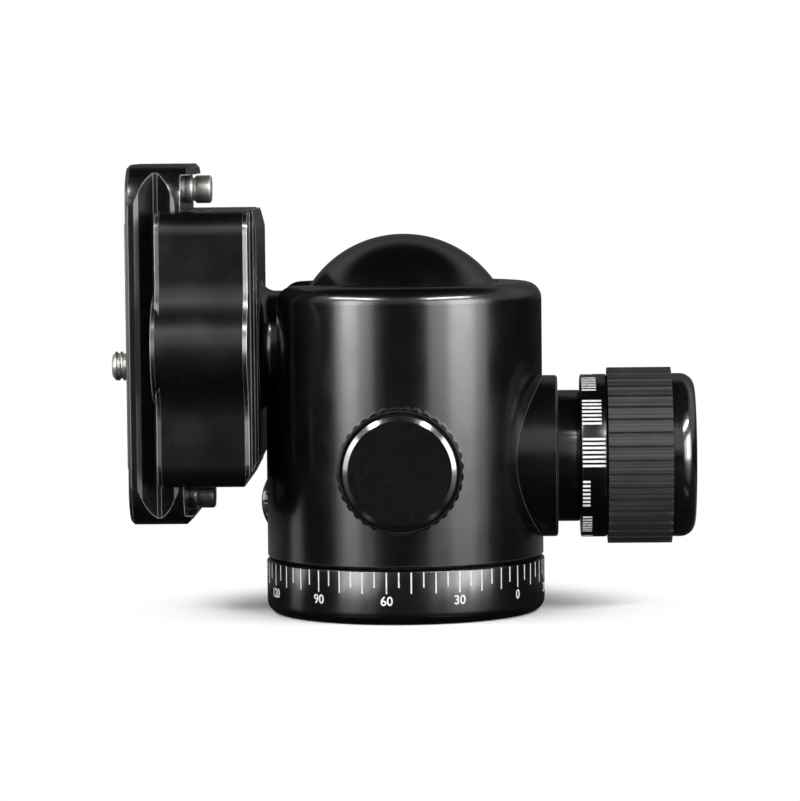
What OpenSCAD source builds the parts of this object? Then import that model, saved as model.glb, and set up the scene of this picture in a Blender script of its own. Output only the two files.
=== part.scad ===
// Tripod ball head with a panning base, a drop notch and a dovetail quick-release clamp.
// Units are millimetres. The origin is the centre of the base's bottom face, on the pan axis.
// +Z is up, the main lock knob points along +X and the friction knob along -Y.
// The stem lies in the drop notch, along -X, so the clamp and its plate stand upright.

/* [Panning base] */
// How far the base stands out past the housing
base_out = 0.2; // [-0.8:0.1:2.2]
// Height of the base
base_h = 11.7; // [11.4:0.1:14]
// Rounding of the base's bottom edge
base_round = 2.8; // [1:0.1:3.2]
// Diameter of the tripod thread, a 3/8 inch socket
socket_d = 9.525; // [6.35:0.005:9.525]
// Length of the tripod thread
socket_len = 9; // [7:0.1:9]
// Outside diameter of the threaded insert
insert_d = 12.2; // [11.8:0.1:13]
// Diameter of the screws that hold the spindle
base_screw_d = 4; // [3:0.5:4]
// Diameter of their countersunk heads
base_screw_head_d = 7.2; // [6:0.1:7.4]
// Diameter of the circle that the screws stand on
base_screw_circle = 20.6; // [20.4:0.1:20.8]
// Number of screws
base_screw_count = 3; // [3:1:6]

/* [Pan spindle] */
// Diameter of the journal that the head turns on
journal_d = 26; // [25:0.5:27]
// Diameter of the brake drum
drum_d = 34; // [32:0.5:35]
// Height of the drum's top above the base's bottom
drum_top = 25.6; // [25:0.1:25.8]
// Depth of the drum's brake groove
brake_groove = 2; // [1:0.1:2.4]

/* [Housing] */
// Thickness of the housing's wall
body_wall = 5.2; // [4.9:0.1:5.8]
// Height of the housing's rim above the ball's centre
rim_rise = 13.5; // [12.9:0.1:14.4]
// Rounding of the rim
rim_round = 3.6; // [2:0.1:4.4]
// Gap that the pan joint shows
pan_gap = 0.4; // [0.3:0.05:0.8]
// Width of the drop notch
notch_w = 26.8; // [26.6:0.1:28]
// Diameter of the boss that carries the main knob
boss_d = 34.8; // [32:0.1:36]
// How far the boss stands out from the housing
boss_out = 3.2; // [2.6:0.1:4]
// How far the threaded floor reaches into the housing's wall
floor_ledge = 1.9; // [1.5:0.1:2.3]
// Thickness of the floor
floor_h = 4.3; // [3.6:0.1:4.6]

/* [Ball] */
// Diameter of the ball
ball_d = 48; // [47:0.2:48.4]
// Diameter of the neck
neck_d = 24; // [21:0.2:24.2]
// Radius of the flare between the neck and the clamp
flare_round = 3.2; // [2.4:0.1:3.2]
// How far the end of the stem stands clear of the housing
stem_clear = 0.7; // [0.5:0.1:1.4]
// Diameter of the spigot that the clamp seats on
spigot_d = 14; // [12:0.1:15]

/* [Ball cup] */
// Room between the lower cup and the housing's wall
cup_play = 2; // [1.6:0.1:2.4]
// Height of the hole through the cup, below the ball's seat
cup_bore_h = 8.3; // [8:0.1:8.8]
// Diameter of the hole through the cup
cup_hole_d = 24; // [22:0.5:25]
// Height of the cup's wedge flank
cup_flank = 5; // [4.8:0.1:5.4]
// Height of the cup's rim below the ball's centre
cup_rim_drop = 12.6; // [12.4:0.1:13]
// Clearance between the ball and its seats
seat_gap = 0.1; // [0.05:0.01:0.15]

/* [Main knob] */
// Diameter of the knob's neck
neck_sleeve_d = 28.3; // [26:0.1:28.8]
// Diameter of the friction dial
dial_d = 35.1; // [33:0.1:36]
// Width of the friction dial
dial_w = 5.8; // [5:0.1:7]
// Width of the gap between the boss and the dial
dial_gap = 4.8; // [4:0.1:6]
// Diameter of the rubber grip
grip_d = 37.9; // [36:0.1:40]
// Width of the rubber grip
grip_w = 13.9; // [12:0.1:16]
// Number of ribs on the grip
rib_count = 40; // [32:1:44]
// Depth of the grooves between the ribs
rib_depth = 0.7; // [0.4:0.05:0.8]
// Diameter of the end cap
cap_d = 35.2; // [33:0.1:36]
// Width of the end cap
cap_w = 5; // [4.4:0.1:6.5]
// Rounding of the end cap's edge
cap_round = 3.2; // [1:0.1:3.6]
// Diameter of the main lock screw
lock_screw_d = 8; // [7:0.5:9]
// Diameter of the lock wedge
wedge_d = 9.2; // [8.8:0.1:9.2]

/* [Friction knob] */
// Diameter over the friction knob's knurl
drag_knob_d = 26.5; // [24.6:0.1:27]
// Width of the friction knob's knurl
drag_knurl_w = 9; // [8:0.1:10.4]
// How far the knob's face stands out from the knurl
drag_face_h = 2.4; // [1.6:0.1:3.6]
// Diameter of the knob's face
drag_face_d = 23.5; // [20:0.1:23.6]
// Width of the bevel round the knob's face
drag_face_bevel = 0.95; // [0.4:0.05:1.4]
// Number of teeth in the knurl
drag_teeth = 36; // [24:1:36]
// Diameter of the friction screw
drag_screw_d = 6; // [5:0.5:6]
// Diameter of the friction shoe
drag_shoe_d = 8; // [7:0.1:8.4]

/* [Pan knob] */
// Height of the pan lock's axis
pan_knob_z = 21.8; // [21.6:0.1:22]
// Direction of the pan lock, from the main knob
pan_knob_angle = 135; // [125:1:145]
// Diameter of the pan knob
pan_knob_d = 18; // [16:0.1:18.4]
// Length of the pan knob
pan_knob_len = 7.5; // [7.2:0.1:7.6]
// Number of teeth in the pan knob's knurl
pan_knob_teeth = 24; // [18:1:26]
// Diameter of the pan lock screw
pan_screw_d = 5; // [4:0.5:5]
// Diameter of the pan brake shoe
pan_shoe_d = 6; // [5.6:0.1:6.2]

/* [Clamp] */
// Length of the clamp, along the dovetail
clamp_len = 58.4; // [57:0.2:59]
// How far the clamp's middle stands past the stem's axis
clamp_shift = 0.5; // [0:0.1:0.8]
// Width of the clamp across its flats
clamp_w = 50; // [49:0.1:51]
// Height of the jaws
jaw_h = 19.5; // [19.3:0.1:20]
// Depth of the dovetail channel between the jaws
channel_deep = 5.3; // [5:0.1:5.4]
// Radius of the clamp's upright corners
clamp_corner = 5; // [3:0.1:6]
// Height of the bevel along the clamp's edges
clamp_bevel = 0.9; // [0.5:0.05:1.2]
// Steepness of that bevel, as its width for each millimetre of height
clamp_slant = 0.47; // [0.3:0.01:1]
// Radius of the swell that holds the clamp's screw
swell_r = 12; // [10:0.1:13]
// How far the swell stands out from the flats
swell_out = 5; // [4:0.1:6]
// Width of the platform under the jaws
platform_w = 34; // [30:0.2:36]
// Height of the platform
platform_h = 1.4; // [1.3:0.1:2]
// Width of the bevel round the platform
platform_bevel = 0.6; // [0.3:0.05:0.9]
// Depth of the slope at the clamp's low end
toe_deep = 2.8; // [1.8:0.05:3.2]
// Length of the slope at the clamp's low end
toe_run = 5.5; // [4:0.1:8]
// Depth of the slope at the clamp's high end
heel_deep = 0.9; // [0.5:0.05:1.2]
// Length of the slope at the clamp's high end
heel_run = 4; // [2:0.1:6]
// Diameter of the stem bolt
stem_bolt_d = 6; // [5:0.5:6]
// Diameter of the clamp's screw
clamp_screw_d = 6; // [5:0.5:6]
// Depth of the clamp screw's axis below the channel's floor
clamp_screw_deep = 3.5; // [3.4:0.1:3.7]
// Diameter of the clamp's knob
clamp_knob_d = 17; // [15:0.1:17.2]
// Width of the clamp's knob
clamp_knob_w = 15; // [12:0.1:17]
// Number of teeth on the clamp's knob
clamp_knob_teeth = 24; // [18:1:26]
// Diameter of the guide pins
guide_pin_d = 4; // [3:0.5:4]
// Distance from the clamp's middle to each guide pin
guide_pin_spread = 19; // [16:0.5:21]
// Travel of the moving jaw
jaw_travel = 4; // [3:0.1:4.4]

/* [Camera plate] */
// Length of the plate
plate_len = 76.9; // [76.5:0.1:79]
// Width of the plate
plate_w = 38; // [38:0.1:38.6]
// Thickness of the plate
plate_h = 11.8; // [11.4:0.1:12.4]
// Thickness of the plate's camera-side lip
face_lip = 2.5; // [2:0.1:2.7]
// Thickness of the dovetail's lower lip
foot_lip = 1.7; // [1.5:0.1:2]
// Width of the flat at the bottom of the side grooves
valley_w = 0.9; // [0.4:0.1:1.4]
// Bevel along the grooves' edges
groove_edge = 0.6; // [0.3:0.05:0.7]
// Bevel round the plate's two faces
plate_bevel = 0.7; // [0.4:0.05:0.9]
// Radius of the plate's corners
plate_corner = 8.6; // [7:0.2:12]
// How far the plate's middle stands past the clamp's middle
plate_shift = 0.55; // [0.4:0.05:0.6]
// Clearance between the dovetail and the jaws
dovetail_gap = 0.2; // [0.1:0.05:0.3]
// Thickness of the end blocks, along the plate
end_block_len = 2.3; // [2:0.1:2.3]
// How far the end blocks stand past the dovetail
end_block_h = 1.9; // [1.4:0.1:2.6]
// Distance from the plate's middle to each stop screw
stop_spread = 32.95; // [32.9:0.05:33.1]
// Diameter of the stop screws' heads
stop_d = 6; // [5:0.1:6.2]
// How far the stop screws stand past the dovetail
stop_h = 5.4; // [4.6:0.1:6]
// Thickness of the flange under each stop screw's head
stop_flange = 1.3; // [0.8:0.1:1.8]
// Diameter of the camera screw, a 1/4 inch thread
camera_screw_d = 6.35; // [6:0.01:6.35]
// How far the camera screw stands out from the plate's face
camera_screw_out = 4.7; // [4:0.1:5.6]
// Length of the camera screw's slot, between its end centres
slot_travel = 24; // [20:0.5:26]
// Where the camera screw stands from the plate's middle
camera_screw_shift = -5.05; // [-8:0.05:8]

/* [Hidden] */

$fn = 96;
ANODISED = "#1b1b1d";
STEEL = "#b9bbbd";
BRASS = "#b08d4a";
ACETAL = "#e8e4d8";
RUBBER = "#2a2a2b";
GLOSS = "#0d0d0e";

// Clearances
run_gap = 0.05;          // round a turning or sliding shaft
face_gap = 0.1;          // between faces that turn on each other
part_gap = 0.3;          // between pieces that only pass each other
eps = 0.01;
far = 100;

// Panning base
spigot_h = 2.2;
screw_reach = 20;
head_h = (base_screw_head_d - base_screw_d) / 2;
head_sink = 0.2;
head_room = 0.35;

// Housing
ball_r = ball_d / 2;
body_z = base_h + pan_gap;
cavity_r = ball_r + 0.6;
body_r = cavity_r + body_wall;
base_r = body_r + base_out;
base_foot_r = base_r - base_round;
mouth_gap = 0.5;
floor_r = cavity_r + floor_ledge;
floor_top = body_z + floor_h;
collar_r = cavity_r - run_gap;
collar_in_r = drum_d / 2 + 1;
collar_top = drum_top + 1;
edge_bevel = 0.4;
boss_r = boss_d / 2;
boss_reach = body_r + boss_out;
boss_recess_r = neck_sleeve_d / 2 + 0.55;
boss_recess = body_r - 2;

// Pan bearing
bushing_r = journal_d / 2 + 2;
washer_h = 0.8;
drum_z = floor_top + washer_h + 2 * run_gap;
low_washer_in = journal_d / 2 + 3.5;
low_washer_out = low_washer_in + 5;
low_washer_h = 1.2;

// Ball and cup
spring_t = 0.7;
spring_rise = 0.8;
spring_z = collar_top + run_gap;
cup_r = cavity_r - cup_play;
cup_z = spring_z + spring_t + spring_rise + run_gap;
ball_z = cup_z + cup_bore_h + sqrt(pow(ball_r + seat_gap, 2) - pow(cup_hole_d / 2, 2));
body_top = ball_z + rim_rise;
mouth_r = sqrt(pow(ball_r + mouth_gap, 2) - pow(rim_rise, 2));
ring_low = 3.6;
ring_high = 9.4;
ring_r = cavity_r + 0.8;
neck_r = neck_d / 2;
stem_reach = body_r + stem_clear;
waist_h = stem_reach - flare_round + 0.15;
spigot_len = 3;
stem_bore_deep = 16;

// Main lock, measured outwards from the pan axis
knob_z = cup_z + cup_flank;
bushing_start = cavity_r + 0.3;
bushing_end = body_r + 2.6;
lock_bushing_r = 7.2;
wedge_end = cavity_r + 1.6;
wedge_seat = wedge_end + 2;
screw_start = wedge_end + face_gap;
neck_start = boss_recess + part_gap;
dial_start = boss_reach + dial_gap;
grip_start = dial_start + dial_w;
grip_end = grip_start + grip_w;
cap_end = grip_end + cap_w;
core_bore_r = lock_bushing_r + 1;
dial_seat_r = 12;
grip_seat_r = 16.4;
sleeve_end = dial_start - face_gap;
lock_head_r = 6.5;
lock_head_h = 4.3;
lock_head_end = grip_end - 3.2;
lock_head_start = lock_head_end - lock_head_h;
hex_deep = 2.5;
cap_plug_r = 14;
cap_plug_h = 3;

// Friction knob, measured outwards from the pan axis
drag_shoe_end = cavity_r + 1.6;
drag_screw_start = drag_shoe_end + face_gap;
drag_knob_start = body_r + 0.8;
drag_knurl_reach = drag_knob_start + drag_knurl_w;
drag_screw_end = drag_knurl_reach - 1;
drag_rim = 2;
drag_front = 1.2;
drag_hub_r = drag_screw_d / 2 + 2.5;
knurl_bevel = 0.6;

// Pan lock, measured outwards from the pan axis
pan_shoe_end = cavity_r + 1.4;
pan_screw_start = pan_shoe_end + face_gap;
pan_knob_start = body_r + 1;
pan_knob_reach = pan_knob_start + pan_knob_len;
pan_face_h = 2;
pan_knurl_end = pan_knob_reach - pan_face_h;
pan_screw_end = pan_knurl_end - 1;
groove_z = pan_knob_z;
face_inset = 0.8;
face_round = 1.2;

// Clamp, in its own upright frame: the stem is up, the dovetail runs along X
under = stem_reach + face_gap;
clamp_step = under + platform_h;
clamp_top = clamp_step + jaw_h;
half_w = clamp_w / 2;
half_len = clamp_len / 2;
swell_top = clamp_top + 0.8;
swell_y = half_w + swell_out - swell_r;
valley_y = half_w + swell_r;
valley_x = sqrt(pow(2 * swell_r, 2) - pow(valley_y - swell_y, 2));
floor_h_up = clamp_top - channel_deep;
plate_foot = floor_h_up + dovetail_gap;
plate_face = plate_foot + plate_h;
channel_y = plate_w / 2 + dovetail_gap;
neck_h = plate_foot + foot_lip;
groove_h = plate_face - face_lip - neck_h;
groove_deep = (groove_h - valley_w) / 2;
neck_slack = dovetail_gap * 0.414;
body_edge = 12.5;
jaw_gap = 1;
jaw_edge = body_edge + jaw_gap;
clamp_screw_h = floor_h_up - clamp_screw_deep;
bolt_head_r = stem_bolt_d / 2 + 2;
bolt_head_h = 3;
bolt_recess = clamp_screw_h - clamp_screw_d / 2 - 0.6;
bolt_end = stem_bore_deep + 2;
pin_h = floor_h_up - 6.6;
pin_start = -body_edge + 4;
pin_end = jaw_edge + jaw_travel + 3.5;
spring_r = guide_pin_d / 2 + 1.4;
spring_wire = 0.5;
spring_turns = 8;
thread_end = half_w + swell_out - 4;
knob_start = half_w + face_gap;
knob_neck = 2.4;
knob_neck_r = clamp_screw_d / 2 + 3;
knob_face_h = 2;
knob_screw_end = knob_start + clamp_knob_w - knob_face_h - 1;
platform_corner = 4;

// Plate, in the clamp's frame
plate_mid = clamp_shift + plate_shift;
plate_half = plate_len / 2;
slot_r = camera_screw_d / 2 + 0.25;
head_r = 6.8;
head_gap = 0.4;
head_recess_h = 6;
head_thick = 5;
head_lift = 0.8;
key_w = 4.6;
key_deep = 4;
keeper_r = 4.8;
keeper_h = 1;
keeper_recess = 1.4;
pad_size = [52, 7.5];
pad_sink = 0.6;
pad_proud = 0.3;
pad_y = 12.6;
block_tip = 0.4;
stop_thread_d = 3;
stop_thread_deep = 6;
stop_groove = 0.5;
screw_x = plate_mid + camera_screw_shift;
screw_neck_r = 2.5;
thread_start = plate_face + 0.2;
camera_screw_tip = plate_face + camera_screw_out;
tip_bevel = 0.8;

// ---------- placing ----------

// Along a knob's axis: local Z runs outwards at an angle round the pan axis
module outward(angle, z) {
    translate([0, 0, z]) rotate([0, 0, angle]) rotate([0, 90, 0]) children();
}

module along_main() { outward(0, knob_z) children(); }
module along_drag() { outward(-90, knob_z) children(); }
module along_pan() { outward(pan_knob_angle, pan_knob_z) children(); }

// On the stem: local Z runs from the ball's centre out through the clamp
module on_stem() {
    translate([0, 0, ball_z]) rotate([0, -90, 0]) children();
}

// Across the clamp: local Z runs along the clamp screw, towards the moving jaw
module across_clamp(x, h) {
    translate([x, 0, h]) rotate([-90, 0, 0]) children();
}

// ---------- shared forms ----------

// A disc or ring with straight bevels on both outer edges; slant is a bevel's width over its height
module bevelled_disc(r, h, bevel, bore = 0, slant = 1) {
    top_r = r - bevel * slant;
    rotate_extrude() polygon([
        [bore, 0], [top_r, 0], [r, bevel], [r, h - bevel], [top_r, h], [bore, h]
    ]);
}

// A bar along X whose four long edges are bevelled, standing on Z = 0
module bevelled_bar(length, width, height, bevel, slant) {
    side = width / 2;
    top = side - bevel * slant;
    rotate([90, 0, 90]) linear_extrude(height = length, center = true) polygon([
        [-top, 0], [top, 0], [side, bevel], [side, height - bevel],
        [top, height], [-top, height], [-side, height - bevel], [-side, bevel]
    ]);
}

// A tile with round corners and every outer edge bevelled alike, standing on Z = 0
module bevelled_tile(length, width, height, corner, bevel, slant = 1) {
    corner_x = length / 2 - corner;
    corner_y = width / 2 - corner;
    bevelled_bar(2 * corner_x, width, height, bevel, slant);
    rotate([0, 0, 90]) bevelled_bar(2 * corner_y, length, height, bevel, slant);
    for (x = [-1, 1], y = [-1, 1])
        translate([x * corner_x, y * corner_y, 0])
            bevelled_disc(corner, height, bevel, 0, slant);
}

// A round cap whose outer edge is rounded, up to height h
module rounded_cap(r, h, round) {
    rotate_extrude() {
        square([r, h - round]);
        square([r - round, h]);
        intersection() {
            translate([r - round, h - round]) circle(round);
            square([r, h]);
        }
    }
}

// A round cap whose outer edge is bevelled, twice as wide as it is deep
module bevelled_cap(r, h, bevel) {
    rotate_extrude() polygon([[0, 0], [r, 0], [r, h - bevel / 2], [r - bevel, h], [0, h]]);
}

// A toothed barrel: scallops cut round a bevelled cylinder
module knurled_barrel(r, h, teeth, bevel) {
    scallop = PI * r / teeth * 0.62;
    difference() {
        bevelled_disc(r, h, bevel);
        for (i = [0 : teeth - 1])
            rotate([0, 0, i * 360 / teeth])
                translate([r + scallop * 0.5, 0, -eps])
                    cylinder(r = scallop, h = h + 2 * eps, $fn = 24);
    }
}

// The space that the lower cup fills outside, grown by a gap
module cup_envelope(gap) {
    rotate_extrude() polygon([
        [0, cup_z - gap], [cup_r - cup_flank + gap * 0.42, cup_z - gap],
        [cup_r + gap, cup_z + cup_flank - gap * 0.42], [cup_r + gap, ball_z], [0, ball_z]
    ]);
}

// The drop notch, cut outwards from a given radius on the -X side
module notch_cutter(from) {
    translate([-from, 0, ball_z]) rotate([0, -90, 0]) cylinder(d = notch_w, h = far);
    translate([-from - far, -notch_w / 2, ball_z]) cube([far, notch_w, far]);
}

// ---------- panning base ----------

module base_screw_places() {
    for (i = [0 : base_screw_count - 1])
        rotate([0, 0, (i + 0.5) * 360 / base_screw_count])
            translate([base_screw_circle / 2, 0, 0]) children();
}

module panning_base() {
    color(ANODISED) difference() {
        rotate_extrude() {
            translate([0, base_round]) square([base_r, base_h - base_round - edge_bevel]);
            square([base_foot_r, base_h]);
            intersection() {
                translate([base_foot_r, base_round]) circle(base_round);
                square([base_r, base_round]);
            }
            translate([0, base_h - edge_bevel])
                polygon([[0, 0], [base_r, 0], [base_r - edge_bevel, edge_bevel], [0, edge_bevel]]);
        }
        translate([0, 0, base_h - spigot_h]) cylinder(d = journal_d + 2 * run_gap, h = far);
        translate([0, 0, -eps]) cylinder(d = insert_d, h = far);
        base_screw_places() {
            translate([0, 0, -eps]) cylinder(d = base_screw_d + 4 * run_gap, h = far);
            translate([0, 0, -eps])
                cylinder(d1 = base_screw_head_d + 2 * head_room, d2 = base_screw_d,
                         h = head_h + head_room);
        }
    }
}

module tripod_insert() {
    color(STEEL) difference() {
        cylinder(d = insert_d, h = socket_len);
        translate([0, 0, -eps]) cylinder(d = socket_d, h = socket_len + 2 * eps);
    }
}

module base_screws() {
    color(STEEL) base_screw_places() difference() {
        union() {
            translate([0, 0, head_sink])
                cylinder(d1 = base_screw_head_d, d2 = base_screw_d, h = head_h);
            translate([0, 0, head_sink]) cylinder(d = base_screw_d, h = screw_reach);
        }
        cylinder(d = base_screw_d * 0.5, h = 1.4, $fn = 6);
    }
}

module pan_spindle() {
    spigot_z = base_h - spigot_h + run_gap;
    drum_r = drum_d / 2;
    color(STEEL) difference() {
        rotate_extrude() polygon([
            [0, spigot_z], [journal_d / 2, spigot_z], [journal_d / 2, drum_z],
            [drum_r, drum_z], [drum_r, groove_z - brake_groove],
            [drum_r - brake_groove, groove_z], [drum_r, groove_z + brake_groove],
            [drum_r, drum_top - edge_bevel], [drum_r - edge_bevel, drum_top], [0, drum_top]
        ]);
        base_screw_places()
            cylinder(d = base_screw_d + 2 * run_gap, h = screw_reach + 1);
    }
}

// ---------- housing ----------

module ball_housing() {
    color(ANODISED) difference() {
        union() {
            rotate_extrude() {
                translate([0, body_z + edge_bevel])
                    square([body_r, body_top - body_z - edge_bevel - rim_round]);
                translate([0, body_z]) square([body_r - edge_bevel, body_top - body_z]);
                square([0.1, body_top]);
                translate([0, body_z]) polygon([
                    [0, 0], [body_r - edge_bevel, 0], [body_r, edge_bevel], [0, edge_bevel]
                ]);
                translate([body_r - rim_round, body_top - rim_round]) circle(rim_round);
            }
            along_main() bevelled_disc(boss_r, boss_reach, edge_bevel);
        }
        // outside the rounded rim, above its springing line
        rotate_extrude() difference() {
            translate([body_r - rim_round, body_top - rim_round]) square(2 * rim_round);
            translate([body_r - rim_round, body_top - rim_round]) circle(rim_round);
        }
        cylinder(r = cavity_r, h = ball_z + ring_low);
        translate([0, 0, ball_z + ring_low - eps])
            cylinder(r = ring_r + run_gap, h = ring_high - ring_low);
        translate([0, 0, ball_z]) sphere(ball_r + mouth_gap);
        translate([0, 0, ball_z]) cylinder(r = mouth_r, h = far);
        cylinder(r = floor_r + run_gap, h = floor_top + run_gap);
        notch_cutter(ball_r / 2);
        along_main() {
            cylinder(r = lock_bushing_r, h = far);
            translate([0, 0, boss_recess]) cylinder(r = boss_recess_r, h = far);
        }
        along_drag() {
            cylinder(d = drag_shoe_d + 2 * run_gap, h = drag_shoe_end + 1.4);
            cylinder(d = drag_screw_d + 2 * run_gap, h = far);
        }
        along_pan() {
            cylinder(d = pan_shoe_d + 2 * run_gap, h = pan_shoe_end + 1);
            cylinder(d = pan_screw_d + 2 * run_gap, h = far);
        }
    }
}

module housing_floor() {
    color(ANODISED) difference() {
        union() {
            translate([0, 0, body_z]) cylinder(r = floor_r, h = floor_h);
            cylinder(r = collar_r, h = collar_top);
        }
        translate([0, 0, -eps]) cylinder(r = base_r, h = body_z + eps);
        cylinder(r = bushing_r, h = far);
        translate([0, 0, floor_top]) cylinder(r = collar_in_r, h = far);
        rotate_extrude()
            translate([low_washer_in - run_gap, 0])
                square([low_washer_out - low_washer_in + 2 * run_gap,
                        base_h + low_washer_h + 2 * run_gap]);
        along_pan() cylinder(d = pan_shoe_d + 2 * run_gap, h = far);
    }
}

module pan_bushing() {
    color(ACETAL) difference() {
        translate([0, 0, body_z]) cylinder(r = bushing_r, h = floor_h);
        cylinder(d = journal_d + 2 * run_gap, h = far);
    }
}

module washer(r_in, r_out, z, h) {
    translate([0, 0, z]) difference() {
        cylinder(r = r_out, h = h);
        translate([0, 0, -eps]) cylinder(r = r_in, h = h + 2 * eps);
    }
}

module lower_pan_washer() {
    color(ACETAL) washer(low_washer_in, low_washer_out, base_h + run_gap, low_washer_h);
}

module upper_pan_washer() {
    color(ACETAL) washer(journal_d / 2 + run_gap, drum_d / 2, floor_top + run_gap, washer_h);
}

module disc_spring() {
    inner = collar_in_r - 2;
    outer = collar_r - 0.6;
    color(STEEL) translate([0, 0, spring_z]) rotate_extrude() polygon([
        [outer, 0], [outer, spring_t], [inner, spring_t + spring_rise], [inner, spring_rise]
    ]);
}

module lower_ball_cup() {
    color(BRASS) difference() {
        intersection() {
            cup_envelope(0);
            cylinder(r = far, h = ball_z - cup_rim_drop);
        }
        cylinder(d = cup_hole_d, h = far);
        translate([0, 0, ball_z]) sphere(ball_r + seat_gap);
    }
}

module upper_ball_ring() {
    color(ACETAL) difference() {
        translate([0, 0, ball_z + ring_low + run_gap])
            cylinder(r = ring_r, h = ring_high - ring_low - 3 * run_gap);
        translate([0, 0, ball_z]) sphere(ball_r + seat_gap);
        notch_cutter(ball_r / 2);
    }
}

module lock_bushing() {
    color(BRASS) along_main() difference() {
        translate([0, 0, bushing_start])
            cylinder(r = lock_bushing_r, h = bushing_end - bushing_start);
        cylinder(d = wedge_d + 2 * run_gap, h = wedge_seat);
        cylinder(d = lock_screw_d + 2 * run_gap, h = far);
    }
}

// ---------- main knob ----------

module lock_wedge() {
    color(STEEL) difference() {
        along_main() translate([0, 0, cup_hole_d / 2])
            cylinder(d = wedge_d, h = wedge_end - cup_hole_d / 2);
        cup_envelope(part_gap);
    }
}

module lock_screw() {
    tip_r = lock_screw_d / 2 - 1;
    color(STEEL) along_main() difference() {
        union() {
            translate([0, 0, screw_start]) cylinder(r = tip_r, h = far / 5);
            translate([0, 0, wedge_seat + face_gap])
                cylinder(d = lock_screw_d, h = lock_head_start - wedge_seat);
            translate([0, 0, lock_head_start]) cylinder(r = lock_head_r, h = lock_head_h);
        }
        translate([0, 0, lock_head_end - hex_deep])
            cylinder(d = lock_screw_d * 0.86, h = far, $fn = 6);
    }
}

module knob_neck_sleeve() {
    color(ANODISED) along_main() difference() {
        translate([0, 0, neck_start])
            bevelled_disc(neck_sleeve_d / 2, sleeve_end - neck_start, edge_bevel / 2);
        cylinder(r = dial_seat_r, h = far);
    }
}

module knob_core() {
    color(ANODISED) along_main() difference() {
        union() {
            translate([0, 0, neck_start + 2])
                cylinder(r = dial_seat_r - run_gap, h = grip_start - neck_start);
            translate([0, 0, grip_start]) cylinder(r = grip_seat_r, h = grip_w);
        }
        cylinder(r = core_bore_r, h = bushing_end + 1.6);
        cylinder(d = lock_screw_d + 2 * run_gap, h = far);
        translate([0, 0, lock_head_start]) cylinder(r = lock_head_r + run_gap, h = far);
        translate([0, 0, grip_end - cap_plug_h]) cylinder(r = cap_plug_r + run_gap, h = far);
    }
}

// The ribbed sleeve: one profile with a groove between each pair of ribs
module knob_grip() {
    grip_r = grip_d / 2;
    groove_r = 0.55;
    color(RUBBER) along_main() difference() {
        translate([0, 0, grip_start + face_gap])
            linear_extrude(height = grip_w - 2 * face_gap, convexity = 4) difference() {
                circle(grip_r);
                for (i = [0 : rib_count - 1])
                    rotate(i * 360 / rib_count)
                        translate([grip_r - rib_depth + groove_r, 0]) {
                            circle(groove_r, $fn = 20);
                            translate([0, -groove_r]) square([groove_r * 2, 2 * groove_r]);
                        }
            }
        cylinder(r = grip_seat_r + run_gap, h = far);
    }
}

module knob_end_cap() {
    color(GLOSS) along_main() {
        translate([0, 0, grip_end]) rounded_cap(cap_d / 2, cap_w, cap_round);
        translate([0, 0, grip_end - cap_plug_h + run_gap])
            cylinder(r = cap_plug_r, h = cap_plug_h);
    }
}

module friction_dial() {
    color(ANODISED) along_main() translate([0, 0, dial_start + run_gap])
        bevelled_disc(dial_d / 2, dial_w - 2 * run_gap, 0.3, dial_seat_r);
}

// ---------- friction knob ----------

module drag_shoe() {
    color(BRASS) difference() {
        along_drag() translate([0, 0, cup_hole_d / 2])
            cylinder(d = drag_shoe_d, h = drag_shoe_end - cup_hole_d / 2);
        cup_envelope(part_gap);
    }
}

module drag_screw() {
    color(STEEL) along_drag() translate([0, 0, drag_screw_start])
        cylinder(d = drag_screw_d, h = drag_screw_end - drag_screw_start);
}

// Hollow from behind, between its rim and the hub that holds the screw
module drag_knob() {
    color(ANODISED) along_drag() difference() {
        translate([0, 0, drag_knob_start])
            knurled_barrel(drag_knob_d / 2, drag_knurl_w, drag_teeth, knurl_bevel);
        washer(drag_hub_r, drag_knob_d / 2 - drag_rim, drag_knob_start - 1,
               drag_knurl_w - drag_front + 1);
        cylinder(d = drag_screw_d, h = drag_screw_end);
    }
}

module drag_knob_face() {
    color(GLOSS) along_drag() translate([0, 0, drag_knurl_reach])
        bevelled_cap(drag_face_d / 2, drag_face_h, drag_face_bevel);
}

// ---------- pan lock ----------

module pan_brake_shoe() {
    tip_r = part_gap;
    tip_out = drum_d / 2 - brake_groove + part_gap * sqrt(2) + tip_r;
    seat_out = drum_d / 2 + part_gap;
    color(BRASS) along_pan() {
        translate([0, 0, tip_out])
            cylinder(r1 = tip_r, r2 = tip_r + seat_out - tip_out, h = seat_out - tip_out);
        translate([0, 0, seat_out]) cylinder(d = pan_shoe_d, h = pan_shoe_end - seat_out);
    }
}

module pan_lock_screw() {
    color(STEEL) along_pan() translate([0, 0, pan_screw_start])
        cylinder(d = pan_screw_d, h = pan_screw_end - pan_screw_start);
}

module pan_knob() {
    color(ANODISED) along_pan() difference() {
        translate([0, 0, pan_knob_start])
            knurled_barrel(pan_knob_d / 2, pan_knurl_end - pan_knob_start, pan_knob_teeth,
                           knurl_bevel);
        cylinder(d = pan_screw_d, h = pan_screw_end);
    }
}

module pan_knob_face() {
    color(GLOSS) along_pan() translate([0, 0, pan_knurl_end])
        rounded_cap(pan_knob_d / 2 - face_inset, pan_face_h, face_round);
}

// ---------- ball and clamp ----------

module ball() {
    color(ANODISED) on_stem() difference() {
        union() {
            sphere(ball_r);
            rotate_extrude() difference() {
                square([neck_r + flare_round, stem_reach]);
                translate([neck_r, 0]) square([far, waist_h]);
                translate([neck_r + flare_round, waist_h]) circle(flare_round);
            }
            cylinder(d = spigot_d, h = stem_reach + spigot_len);
        }
        translate([0, 0, stem_bore_deep]) cylinder(d = stem_bolt_d + 2 * run_gap, h = far);
    }
}

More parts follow.
